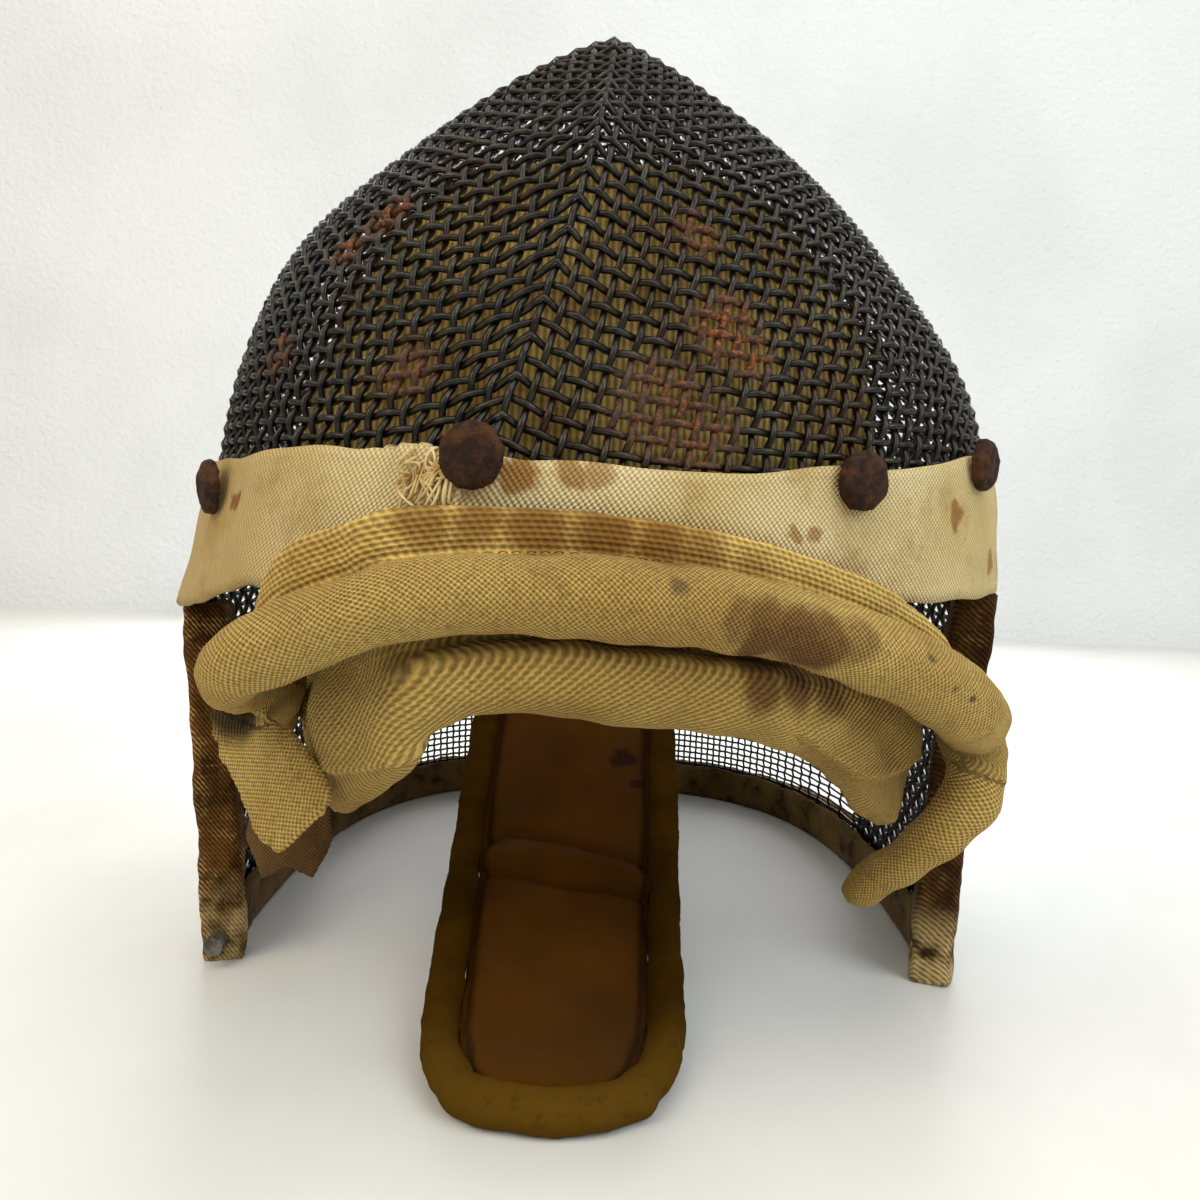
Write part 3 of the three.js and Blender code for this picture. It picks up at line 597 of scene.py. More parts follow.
def rear_panel():
    """Level and upright wires of the finer mesh round the crown."""
    rows = np.arange(RING_Z[0], RING_Z[-1], REAR_PITCH)
    turns = {side: np.full((len(rows), len(REAR_LEVELS)), np.nan) for side in (-1, 1)}
    level, rising = [], []
    for number, z in enumerate(rows):
        for side, grid in turns.items():
            x, turn = zone_row(z, side, "rear")
            fits = REAR_LEVELS < x[0]
            grid[number, fits] = side * np.interp(REAR_LEVELS[fits], x[::-1], turn[::-1])
        left, right = (grid[number][~np.isnan(grid[number])] for grid in turns.values())
        lap = FAR_TURN - REAR_LAP
        run = np.concatenate([[-lap], left[::-1], right[1:], [lap]])
        phase = np.arange(len(run)) - len(left) + number
        level.append(crimped(np.full(len(run), z), run, phase, REAR_CRIMP))
    for side, grid in turns.items():
        for i in range(int(side > 0), len(REAR_LEVELS)):
            k = np.nonzero(~np.isnan(grid[:, i]))[0]
            if len(k) > 2:
                rising.append(crimped(rows[k], grid[k, i], k + i + 1, REAR_CRIMP))
    return level, rising


# Material kit

def rgb(r, g, b):
    """Linear colour from the values seen on screen."""
    def linear(c):
        return c / 255 / 12.92 if c <= 10 else ((c / 255 + 0.055) / 1.055) ** 2.4

    return linear(r), linear(g), linear(b), 1.0


class Mat:
    """A principled material with short calls for its texture nodes."""

    def __init__(self, name):
        self.material = bpy.data.materials.new(name)
        self.material.use_nodes = True
        self.tree = self.material.node_tree
        self.shader = self.tree.nodes["Principled BSDF"]
        self.place = self.node("ShaderNodeTexCoord").outputs["Object"]
        self.heights = []

    def node(self, kind, **settings):
        n = self.tree.nodes.new(kind)
        for key, value in settings.items():
            setattr(n, key, value)
        return n

    def put(self, socket, value):
        if isinstance(value, bpy.types.NodeSocket):
            self.tree.links.new(value, socket)
        else:
            socket.default_value = value

    def math(self, operation, a, b=0.0, c=0.0):
        n = self.node("ShaderNodeMath", operation=operation)
        for socket, value in zip(n.inputs, (a, b, c)):
            self.put(socket, value)
        return n.outputs[0]

    def noise(self, scale, detail=3.0, rough=0.55):
        n = self.node("ShaderNodeTexNoise")
        self.put(n.inputs["Vector"], self.place)
        n.inputs["Scale"].default_value = scale
        n.inputs["Detail"].default_value = detail
        n.inputs["Roughness"].default_value = rough
        return n.outputs["Fac"]

    def cells(self, scale):
        n = self.node("ShaderNodeTexVoronoi")
        self.put(n.inputs["Vector"], self.place)
        n.inputs["Scale"].default_value = scale
        return n.outputs["Distance"]

    def ramp(self, value, low, high, a=0.0, b=1.0):
        n = self.node("ShaderNodeMapRange", interpolation_type="SMOOTHSTEP")
        self.put(n.inputs["Value"], value)
        for key, number in (("From Min", low), ("From Max", high), ("To Min", a), ("To Max", b)):
            n.inputs[key].default_value = number
        return n.outputs["Result"]

    def patches(self, scale, detail, rough, low, high, strength=1.0):
        """Blotches of noise from 0 to a strength."""
        return self.ramp(self.noise(scale, detail, rough), low, high, 0.0, strength)

    def mix(self, amount, a, b, blend="MIX"):
        n = self.node("ShaderNodeMix", data_type="RGBA", blend_type=blend)
        self.put(n.inputs[0], amount)
        self.put(n.inputs[6], a)
        self.put(n.inputs[7], b)
        return n.outputs[2]

    def base(self, amount, light, dark):
        """Starts the colour as a mix of two screen colours."""
        self.colour = self.mix(amount, rgb(*light), rgb(*dark))

    def tint(self, amount, over, blend="MIX"):
        """Lays a screen colour over the colour so far."""
        self.colour = self.mix(amount, self.colour, rgb(*over), blend)

    def warped(self, scale, amount):
        """Object position shaken by noise, in metres."""
        n = self.node("ShaderNodeTexNoise")
        self.put(n.inputs["Vector"], self.place)
        n.inputs["Scale"].default_value = scale
        n.inputs["Detail"].default_value = 3.0
        less = self.node("ShaderNodeVectorMath", operation="SUBTRACT")
        self.put(less.inputs[0], n.outputs["Color"])
        less.inputs[1].default_value = (0.5, 0.5, 0.5)
        size = self.node("ShaderNodeVectorMath", operation="SCALE")
        self.put(size.inputs[0], less.outputs[0])
        size.inputs["Scale"].default_value = amount
        add = self.node("ShaderNodeVectorMath", operation="ADD")
        self.put(add.inputs[0], self.place)
        self.put(add.inputs[1], size.outputs[0])
        return add.outputs[0]

    def spot(self, centre, radius, place, hard):
        """1 inside a ragged round patch; the centre is in millimetres of the working frame."""
        n = self.node("ShaderNodeVectorMath", operation="DISTANCE")
        self.put(n.inputs[0], place)
        n.inputs[1].default_value = tuple((np.array(centre, float) - SHIFT) * 0.001)
        return self.ramp(n.outputs["Value"], radius * 0.001, radius * 0.001 * hard)

    def spots(self, rows, place, hard):
        total = None
        for centre, radius, strength in rows:
            s = self.math("MULTIPLY", self.spot(centre, radius, place, hard), strength)
            total = s if total is None else self.math("MAXIMUM", total, s)
        return total

    def cloth(self):
        """The cloth coordinates and the mask kept on the mesh."""
        n = self.node("ShaderNodeAttribute", attribute_name="cloth")
        s = self.node("ShaderNodeSeparateXYZ")
        self.put(s.inputs[0], n.outputs["Vector"])
        return s.outputs[0], s.outputs[1], s.outputs[2]

    def axis(self, index):
        """One coordinate of the place, in millimetres of the row frame."""
        s = self.node("ShaderNodeSeparateXYZ")
        self.put(s.inputs[0], self.place)
        return self.math("MULTIPLY", s.outputs[index], 1000.0)

    def wave(self, value, pitch):
        return self.math("SINE", self.math("MULTIPLY", value, 2 * math.pi / pitch))

    def weave(self, u, v, pitch_u, pitch_v):
        """Plain weave: bumps in a checker of threads, from 0 to 1."""
        a = self.math("MULTIPLY", self.wave(u, 2 * pitch_u), self.wave(v, 2 * pitch_v))
        return self.math("MULTIPLY_ADD", a, 0.5, 0.5)

    def twill(self, u, v, pitch, lean=0.9, row=1.4):
        """Diagonal ribs broken into short floats, from 0 to 1."""
        ribs = self.wave(self.math("ADD", u, self.math("MULTIPLY", v, lean)), pitch)
        broken = self.wave(v, row)
        both = self.math("ADD", self.math("MULTIPLY", ribs, 0.75), self.math("MULTIPLY", broken, 0.25))
        return self.math("MULTIPLY_ADD", both, 0.5, 0.5)

    def either(self, mask, a, b):
        """The first value where the mask is 0 and the second where it is 1."""
        rest = self.math("SUBTRACT", 1.0, mask)
        return self.math("ADD", self.math("MULTIPLY", a, rest), self.math("MULTIPLY", b, mask))

    def bump(self, height, distance, strength):
        self.heights.append((height, distance, strength))

    def finish(self, roughness, **sockets):
        self.put(self.shader.inputs["Base Color"], self.colour)
        self.put(self.shader.inputs["Roughness"], roughness)
        for key, value in sockets.items():
            self.shader.inputs[key.replace("_", " ")].default_value = value
        last = None
        for height, distance, strength in self.heights:
            n = self.node("ShaderNodeBump")
            n.inputs["Strength"].default_value = strength
            n.inputs["Distance"].default_value = distance * 0.001
            self.put(n.inputs["Height"], height)
            if last is not None:
                self.put(n.inputs["Normal"], last)
            last = n.outputs["Normal"]
        if last is not None:
            self.put(self.shader.inputs["Normal"], last)
        return self.material


# Colours and stains; a stain has its place in millimetres, its radius and its strength
CLOTH = {"Sheen_Weight": 0.06, "Sheen_Roughness": 0.6, "Specular_IOR_Level": 0.03}
ROLL_LIGHT, ROLL_DARK = (228, 193, 108), (199, 160, 82)
INNER_LIGHT, INNER_DARK = (206, 172, 92), (176, 142, 70)
RUST_TINT, BAND_RUST_TINT = (126, 84, 42), (176, 124, 54)
FLAP_STAINS = [
    ((-27.2, -83.3, 115.7), 7, 0.65), ((-17.8, -81.7, 116.3), 8, 0.75), ((-8.1, -79.5, 115.9), 9, 0.8),
    ((1.8, -77, 114.8), 9, 0.85), ((12.1, -73.9, 113.4), 9, 0.8), ((19.2, -71.5, 112.1), 8, 0.6),
    ((30.4, -70, 109), 7, 0.35), ((-42, -70, 108), 8, 0.3),
]
ROLL_STAINS = [
    ((25.5, -81.4, 99.4), 5, 0.5), ((30.7, -79.7, 99), 7, 0.7), ((36.3, -77.5, 97.5), 8, 0.8),
    ((41.9, -75.3, 96.5), 7, 0.75), ((29.5, -78.2, 95.6), 6, 0.8), ((39.6, -74.7, 93.7), 7, 0.85),
    ((47.5, -73.1, 97.2), 6, 0.5),
]
ROLL_MARKS = [
    ((15, -84.3, 106.7), 2.6, 0.6), ((62.6, -64.9, 92.9), 1.6, 0.7), ((68.8, -61.6, 86.9), 1.3, 0.8),
    ((73.8, -58.6, 84.6), 1.3, 0.8),
]
INNER_STAINS = [
    ((31.3, -68, 91.4), 7, 0.7), ((38.9, -66.7, 86.9), 7, 0.8), ((32.7, -71.7, 87.6), 6, 0.75),
    ((46, -60, 84), 7, 0.55),
]
BAND_STAINS = [
    ((-70.2, -46.7, 117.1), 2.6, 0.9), ((-72.2, -44.7, 117.4), 2.6, 0.9), ((77.3, -31.9, 119), 3.4, 0.75),
    ((38.1, -58.5, 114.9), 2.4, 0.7), ((42.2, -56.5, 114.2), 2.6, 0.7), ((84.7, -22, 129), 3, 0.8),
    ((91.1, -16.2, 108.9), 4, 0.7), ((-12, -75.1, 123.6), 4.5, 0.85), ((-3.6, -73, 124.4), 4, 0.7),
    ((1.4, -71.5, 124.9), 4, 0.6), ((51.9, -50.2, 127), 9, 0.45), ((-20, -75, 126), 9, 0.5),
]
LEATHER_WEAR = [((2.8, -20.8, 12.1), 17, 0.55), ((-5.7, -36, 9.3), 14, 0.4), ((-8, 0, 19.6), 12, 0.3)]
LEATHER_STAINS = [((12.1, 51.3, 41.8), 4.5, 0.9), ((14.4, 40.6, 36.4), 3, 0.8), ((9, 49, 41), 3, 0.8)]
RUST_PATCHES = [
    ((23.5, -56.6, 151.6), 9.5, 1.0), ((28.0, -55.5, 147.0), 7.0, 0.9), ((18.6, -51.3, 169.7), 6.0, 0.8),
    ((-42.4, -38.1, 174.8), 8.0, 0.85), ((-50.8, -36.6, 168.1), 6.5, 0.75), ((11.7, -64.5, 136.1), 13.0, 0.6),
    ((19.2, -62.5, 132.9), 11.0, 0.6), ((-65.3, -35.3, 147.9), 7.0, 0.6), ((-33.0, -62.0, 141.0), 8.0, 0.55),
]


def wire_material():
    m = Mat("woven_wire")
    patch = m.spots(RUST_PATCHES, m.warped(140, 0.006), 0.3)
    speck = m.patches(900, 3, 0.7, 0.42, 0.62)
    m.base(m.patches(420, 2, 0.55, 0.3, 0.7), (26, 24, 20), (58, 54, 47))
    m.tint(m.patches(55, 4, 0.6, 0.46, 0.66, 0.7), (46, 31, 18))
    rust = m.mix(speck, rgb(74, 36, 6), rgb(150, 84, 22))
    amount = m.math("MULTIPLY", patch, m.math("MULTIPLY_ADD", speck, 0.45, 0.55))
    m.bump(m.noise(1500, 2), 0.12, 0.5)
    m.bump(m.math("MULTIPLY", patch, m.noise(1900, 2)), 0.5, 0.9)
    m.put(m.shader.inputs["Metallic"], m.ramp(amount, 0.0, 0.4, 0.7, 0.0))
    m.colour = m.mix(amount, m.colour, rust)
    return m.finish(m.ramp(amount, 0.0, 0.5, 0.3, 0.9))


def canvas_material(name, light, dark, pitch, soil, stains=(), left_shade=None):
    """Cotton cloth with its threads, soiling and stains; it may carry painted shade, browner toward its left
    end.
    """
    m = Mat(name)
    u, v, _ = m.cloth()
    cloth = m.weave(u, v, pitch, pitch)
    m.base(m.patches(28, 5, 0.6, 0.3, 0.7), light, dark)
    between = tuple(0.35 * c for c in rgb(*dark)[:3]) + (1.0,)
    m.colour = m.mix(m.ramp(cloth, 0.8, 0.1, 0, 0.6), m.colour, between)
    m.tint(m.patches(70, 5, 0.7, 0.48, 0.72, 0.55), soil)
    if left_shade:
        # Painted shade: the cloth turns browner toward its left end
        m.tint(m.ramp(m.axis(0), -30, -80, 0, 0.5), left_shade)
    if stains:
        m.tint(m.spots(stains, m.warped(170, 0.007), 0.5), BAND_RUST_TINT, "MULTIPLY")
    m.bump(cloth, 0.6, 0.9)
    m.bump(m.noise(2600, 2), 0.15, 0.4)
    return m.finish(0.92, **CLOTH)


# Pieces

def assign(obj, material):
    obj.data.materials.clear()
    obj.data.materials.append(material)


def piece(name, mesh, node, material):
    """A dressed piece that stands for one CAD node."""
    obj = add_object(name, mesh)
    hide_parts(node)
    assign(obj, material)
    return obj


def add_threads(name, wires, radius, node, material):
    piece(name, tubes_mesh(name, wires, radius), node, material)


def rough(points, *rows):
    """Layers of smooth noise, each with its height, feature size and seed."""
    return sum(height * wobble(points, size, seed) for height, size, seed in rows)


def pushed(mesh, height):
    """Moves a mesh's points along their normals by a height found from their places."""
    p = read_points(mesh)
    p = p + read_normals(mesh) * height(p)[:, None]
    write_points(mesh, p)
    return p


def build_wires():
    material = wire_material()
    rings = [w for i in range(len(RING_Z)) for w in ring_wire(i)]
    rear_level, rear_upright = rear_panel()
    for name, wires, radius in (
        ("cage_level_wires", rings, WIRE_RADIUS),
        ("cage_upright_wires", upright_wires(), WIRE_RADIUS),
        ("rear_level_wires", rear_level, REAR_RADIUS),
        ("rear_upright_wires", rear_upright, REAR_RADIUS),
    ):
        add_threads(name, wires, radius, "mesh_cage", material)


def sheet_grid(name, rows, columns, outer, inner):
    """Closed thin sheet from two grids of points."""
    n = rows * columns
    points = np.concatenate([outer.reshape(-1, 3), inner.reshape(-1, 3)])
    faces = []
    for i in range(rows - 1):
        for j in range(columns - 1):
            a = i * columns + j
            faces.append((a, a + 1, a + columns + 1, a + columns))
            faces.append((n + a, n + a + columns, n + a + columns + 1, n + a + 1))
    edge = list(range(columns)) + [i * columns + columns - 1 for i in range(1, rows)]
    edge += [(rows - 1) * columns + j for j in range(columns - 2, -1, -1)]
    edge += [i * columns for i in range(rows - 2, 0, -1)]
    for a, b in zip(edge, edge[1:] + edge[:1]):
        faces.append((a, n + a, n + b, b))
    return make_mesh(name, points, faces)


BAND_STEPS, BAND_ROWS, BAND_MIDDLE = 260, 15, 7
BAND_OUTER, BAND_INNER, BAND_BASE = 1.9, 0.2, -0.4
# Ragged stretch of the upper edge beside the chin rivet, as a turn and its reach
TORN_TURN, TORN_REACH = -17, 5


def build_band():
    turn = np.linspace(BAND_EDGE[0, 0], BAND_EDGE[-1, 0], BAND_STEPS)
    low, high, flare = (smooth(BAND_EDGE[:, 0], BAND_EDGE[:, k], turn) for k in (1, 2, 3))
    across = np.linspace(0, 1, BAND_ROWS)
    flat = np.stack([turn, turn * 0, turn * 0], -1)
    torn = np.where(np.abs(turn - TORN_TURN) < TORN_REACH, 0.5 * wobble(flat, 1.5, 4), 0)
    high = high + 0.5 * wobble(flat, 9, 3) + torn
    low = low + 0.5 * wobble(flat, 11, 5)

    def layer(depth):
        z = low[:, None] + (high - low)[:, None] * across[None]
        t = np.broadcast_to(turn[:, None], z.shape)
        p = cage(z, t, BAND_BASE - depth)
        lift = flare[:, None] * (1 - across[None]) ** 2
        place = np.stack([t.ravel() * 1.6, z.ravel(), 0 * t.ravel()], -1)
        uneven = 0.35 * wobble(place, 16, 8).reshape(t.shape)
        return p + outward(z, t) * (lift + np.maximum(uneven, -0.3))[..., None]

    outer, inner = layer(BAND_OUTER), layer(BAND_INNER)
    mesh = sheet_grid("chin_band_cloth", len(turn), len(across), outer, inner)
    s = arc_length(outer[:, BAND_MIDDLE])
    set_cloth(mesh, np.tile(np.repeat(s, len(across)), 2), np.tile(outer[..., 2].ravel(), 2))
    # The last colour is painted shade toward the band's left end
    material = canvas_material("cream_canvas", (244, 224, 170), (222, 194, 128), 0.58, (168, 128, 66),
                               BAND_STAINS, (164, 122, 50))
    band = piece("chin_band_cloth", mesh, "chin_band", material)


def build_frays():
    """Loose threads on the band beside the chin rivet."""
    rng = np.random.default_rng(23)
    wires = []
    for _ in range(FRAYS):
        turn, z = rng.uniform(-16, -6.5), rng.uniform(121.5, 127)
        lean, curl = rng.uniform(-0.45, 0.45), rng.uniform(-1.6, 1.6)
        t = np.linspace(0, 1, 13)
        drop = rng.uniform(2.0, 6.0) * t + 0.8 * np.sin(6 * t + rng.uniform(0, 6))
        turns = turn + lean * drop + curl * np.sin(rng.uniform(3, 6) * t)
        path = cage(z - drop, turns, -2.6 - 0.8 * np.sin(math.pi * t))
        wires.append((path, outward(z - drop, turns)))
    m = Mat("loose_thread")
    m.base(m.patches(200, 3, 0.55, 0.35, 0.65), (228, 204, 148), (186, 152, 92))
    material = m.finish(0.9, Sheen_Weight=0.1, Specular_IOR_Level=0.1)
    add_threads("frayed_threads", wires, FRAY_RADIUS, "chin_band", material)


def bib_path(table, turns, z):
    """Middle line of a roll round the chin, at the given heights."""
    inset = smooth(table[:, 0], table[:, 1], turns)
    p = np.array([cage(BIB_Z, t, i, SOFT_PROW) for t, i in zip(turns, inset)])
    p[:, 2] = z
    return p


def roll_path(turns):
    return bib_path(ROLL, turns, smooth(ROLL[:, 0], ROLL[:, 2], turns))


def roll_material():
    m = Mat("tan_canvas")
    u, v, mask = m.cloth()
    shaken = m.warped(60, 0.01)
    plain = m.weave(u, v, 0.5, 0.5)
    dashes = m.wave(m.math("ADD", u, m.math("MULTIPLY", v, 0.6)), 1.5)
    ribs = m.math("ADD", m.math("MULTIPLY", m.wave(v, 0.9), 0.2), m.math("MULTIPLY", dashes, 0.14))
    cloth = m.either(mask, plain, m.math("ADD", ribs, 0.5))
    m.base(m.patches(26, 5, 0.6, 0.3, 0.7), ROLL_LIGHT, ROLL_DARK)
    m.tint(m.ramp(cloth, 0.8, 0.1, 0, 0.72), (78, 54, 20))
    m.tint(m.patches(75, 5, 0.7, 0.5, 0.75, 0.4), (118, 86, 38))
    m.tint(m.patches(1300, 2, 0.55, 0.5, 0.68, 0.4), (104, 76, 32))
    m.tint(m.spots(FLAP_STAINS, shaken, 0.3), (108, 64, 16))
    m.tint(m.spots(ROLL_STAINS, shaken, 0.45), RUST_TINT, "MULTIPLY")
    m.tint(m.spots(ROLL_MARKS, m.warped(160, 0.003), 0.3), (72, 58, 38))
    # Painted shade: darkens the cloth in the hollow under the roll's left end
    m.tint(m.spots([(RECESS, 10, 0.95)], shaken, 0.3), (44, 31, 11))
    m.bump(cloth, 0.7, 0.9)
    m.bump(m.noise(2400, 2), 0.15, 0.4)
    return m.finish(0.92, **CLOTH)


def build_roll():
    mesh = remeshed("bib_roll", 1.0, 7)
    p, n = read_points(mesh), read_normals(mesh)
    turns = np.linspace(ROLL[0, 0], ROLL[-1, 0], 110)
    body = roll_path(turns)
    length, radii = arc_length(body), smooth(ROLL[:, 0], ROLL[:, 3], turns)
    s, out, rise = section_of(p, eased(np.concatenate([body, TAIL]), 12))
    s, out, rise = (softened(mesh, a, 14) for a in (s, out, rise))
    r = np.interp(s, length, radii)
    on_body = np.clip((length[-1] - s) / 6, 0, 1)
    angle = np.where(on_body > 0, np.arctan2(rise, out), np.arctan2(-rise, -out))
    corner = (np.hypot(out, rise) > 1.2 * r) & (rise < 0) & (s < length[-1] / 2)
    flap = on_body * step(rise, 0.9 * r, 0.9 * r + 0.8) * step(-out, 1.4, 2.6)
    seam = on_body * np.exp(-((rise - 0.9 * r) ** 2 + (out + 3.4) ** 2) / 1.2)
    cord = flap * np.exp(-((rise - r - 2.2) / 1.0) ** 2)
    along, wide = (p - CORNER_AT) @ CORNER_RUN, (p - CORNER_AT) @ CORNER_WIDE
    hem = corner * (np.exp(-((wide - 7.4) / 0.8) ** 2) + 0.8 * np.exp(-((wide - 4.8) / 0.7) ** 2))
    flat = np.stack([s, angle * 8, 0 * s], -1)
    recess = np.exp(-(((p - RECESS) / RECESS_SIZE) ** 2).sum(1))
    bulge = rough(flat, (0.4, 26, 11), (0.2, 9, 12)) * (1 - 0.6 * flap) * (1 - 0.6 * corner)
    twist = (1 - on_body) * 0.25 * np.sin(2 * math.pi * (s / 11 + angle / (2 * math.pi)))
    height = bulge + twist + 0.5 * cord - 0.55 * seam + 0.45 * hem - 3.0 * recess
    write_points(mesh, p + n * height[:, None])
    v = np.where(flap > 0.5, rise, angle * 7.5)
    set_cloth(mesh, np.where(corner, along, s), np.where(corner, wide, v), flap)
    material = roll_material()
    roll = piece("bib_roll_cloth", mesh, "bib_roll", material)
    build_stitches(material)


def build_stitches(material):
    """Short thread stitches in the seam between roll and flap."""
    turns = np.linspace(SEAM_TURNS[0], SEAM_TURNS[1], 160)
    away = outward(BIB_Z, turns, SOFT_PROW)
    line = roll_path(turns) + away * SEAM_OUT
    line[:, 2] += 0.93 * smooth(ROLL[:, 0], ROLL[:, 3], turns) + 0.15
    length = arc_length(line)
    rng = np.random.default_rng(17)
    wires = []
    for start in np.arange(1.0, length[-1] - 2, STITCH_PITCH):
        at = start + rng.uniform(-0.2, 0.2) + STITCH * np.linspace(0, 1, 5)
        path, face = (np.stack([np.interp(at, length, a[:, k]) for k in range(3)], -1) for a in (line, away))
        face = unit(face * 0.6 + (0, 0, 0.8))
        arch = np.array([-0.25, 0.1, 0.16, 0.1, -0.25]) + rng.uniform(-0.05, 0.05)
        wires.append((path + face * arch[:, None], face))
    add_threads("seam_stitches", wires, STITCH_RADIUS, "bib_roll", material)


def inner_material():
    m = Mat("tan_twill")
    u, v, mask = m.cloth()
    fibres = m.math("MULTIPLY_ADD", m.wave(u, 1.0), 0.3, 0.5)
    cloth = m.either(mask, m.twill(u, v, 1.7, -1.5, 0.62), fibres)
    m.base(m.patches(28, 5, 0.6, 0.3, 0.7), INNER_LIGHT, INNER_DARK)
    m.tint(m.ramp(cloth, 0.8, 0.1, 0, 0.6), (72, 50, 18))
    m.tint(m.math("MULTIPLY", mask, 0.3), (92, 68, 30))
    m.tint(m.patches(70, 5, 0.7, 0.5, 0.75, 0.35), (116, 86, 46))
    m.tint(m.patches(1300, 2, 0.55, 0.5, 0.68, 0.35), (96, 70, 30))
    spots = m.spots(INNER_STAINS, m.warped(60, 0.01), 0.4)
    m.tint(spots, RUST_TINT, "MULTIPLY")
    m.bump(cloth, 0.7, 0.9)
    m.bump(m.noise(2400, 2), 0.15, 0.4)
    return m.finish(0.92, **CLOTH)


def build_inner():
    mesh = remeshed("bib_inner", 1.0, 8)
    p, n = read_points(mesh), read_normals(mesh)
    turns = np.linspace(INNER[0, 0], INNER[-1, 0], 90)
    top, foot = (smooth(INNER[:, 0], INNER[:, k], turns) for k in (2, 3))
    s, out, rise = section_of(p, eased(bib_path(INNER, turns, (top + foot) / 2), 16))
    s, out, rise = (softened(mesh, a, 16) for a in (s, out, rise))
    layer, ridge = 0.0, 0.0
    for hem, weight in ((HEM_LEFT, step(-p[:, 0], 18, 24)), (HEM_RIGHT, step(p[:, 0], 36, 42))):
        below = at_rows(hem, p[:, 0]) - p[:, 2]
        layer = layer + weight * step(below, -0.5, 0.7)
        ridge = ridge + weight * np.exp(-((below + 1.4) / 0.9) ** 2)
    front = step(out, -1.0, 1.0)
    ends = np.clip(1 - np.minimum(s, s.max() - s) / 60, 0, 1)
    fold = ends * 0.9 * np.sin(2 * math.pi * (p[:, 2] / 24 + s / 34))
    lobe = 2.4 * np.exp(-(((p - LOBE) / LOBE_SIZE) ** 2).sum(1))
    soft = lobe + rough(p, (0.4, 22, 21), (0.2, 8, 22))
    write_points(mesh, p + n * (soft + fold + front * (0.5 * ridge - 1.4 * layer))[:, None])
    set_cloth(mesh, s, rise + out * 0.6, layer)
    inner = piece("bib_inner_cloth", mesh, "bib_inner", inner_material())


def build_lining():
    mesh = remeshed("chin_lining", 0.8, 6)
    p = read_points(mesh)
    set_cloth(mesh, p[:, 0], p[:, 2])
    m = Mat("brown_canvas")
    u, v, _ = m.cloth()
    ribs = m.math("MULTIPLY_ADD", m.wave(u, 1.3), 0.5, 0.5)
    m.base(m.patches(35, 4, 0.55, 0.35, 0.65), (214, 182, 108), (176, 142, 78))
    m.tint(m.ramp(ribs, 0.55, 0.1, 0, 0.55), (70, 50, 22))
    m.tint(m.patches(60, 4, 0.7, 0.5, 0.7, 0.5), (86, 54, 22))
    m.bump(ribs, 0.5, 0.8)
    m.bump(m.weave(u, v, 0.65, 0.9), 0.2, 0.5)
    material = m.finish(0.95, Sheen_Weight=0.06, Specular_IOR_Level=0.1)
    lining = piece("chin_lining_cloth", mesh, "chin_lining", material)


# Tongue: its middle, spread and tip, its half width by Y, and the two creases across it as (x, y)
PIPING_FULL = 0.6
PAD_MID, PAD_SPREAD, PAD_TIP = -4.8, 1.085, 2.2
PAD_HALF = [
    (-60.5, 12), (-54, 16.6), (-42, 19.4), (-22, 20.4), (0, 21.2), (16, 21.8), (40, 22.6), (75, 23.2),
    (140, 23.6),
]
FOLD_NEAR = [(-29, 9.0), (-5.5, 3.4), (19, 2.0)]
FOLD_FAR = [(-29, 17.0), (-21.6, 20.4), (4.6, 14.2), (19, 10.8)]


def at_rows(rows, x):
    """Value at x of a line given as (x, value) rows."""
    return np.interp(x, [a for a, _ in rows], [b for _, b in rows])


def crease_depth(p, line, width):
    """Closeness of plan points to a crease line given as (x, y) rows."""
    return np.exp(-((p[:, 1] - at_rows(line, p[:, 0])) / width) ** 2)


def leather_material():
    m = Mat("brown_leather")
    _, _, mask = m.cloth()
    shaken = m.warped(90, 0.006)
    m.base(m.patches(24, 5, 0.6, 0.3, 0.7), (84, 50, 5), (66, 38, 3))
    m.tint(m.spots(LEATHER_WEAR, shaken, 0.1), (96, 56, 12))
    m.tint(m.spots(LEATHER_STAINS, shaken, 0.4), (40, 17, 8))
    m.tint(m.patches(700, 3, 0.7, 0.55, 0.75, 0.35), (44, 25, 6))
    m.tint(m.math("MULTIPLY", mask, 0.8), (24, 13, 4))
    m.bump(m.cells(850), 0.12, 0.6)
    m.bump(m.noise(160, 4, 0.65), 0.35, 0.5)
    return m.finish(m.ramp(m.noise(60, 4), 0.3, 0.7, 0.5, 0.68), Specular_IOR_Level=0.03)


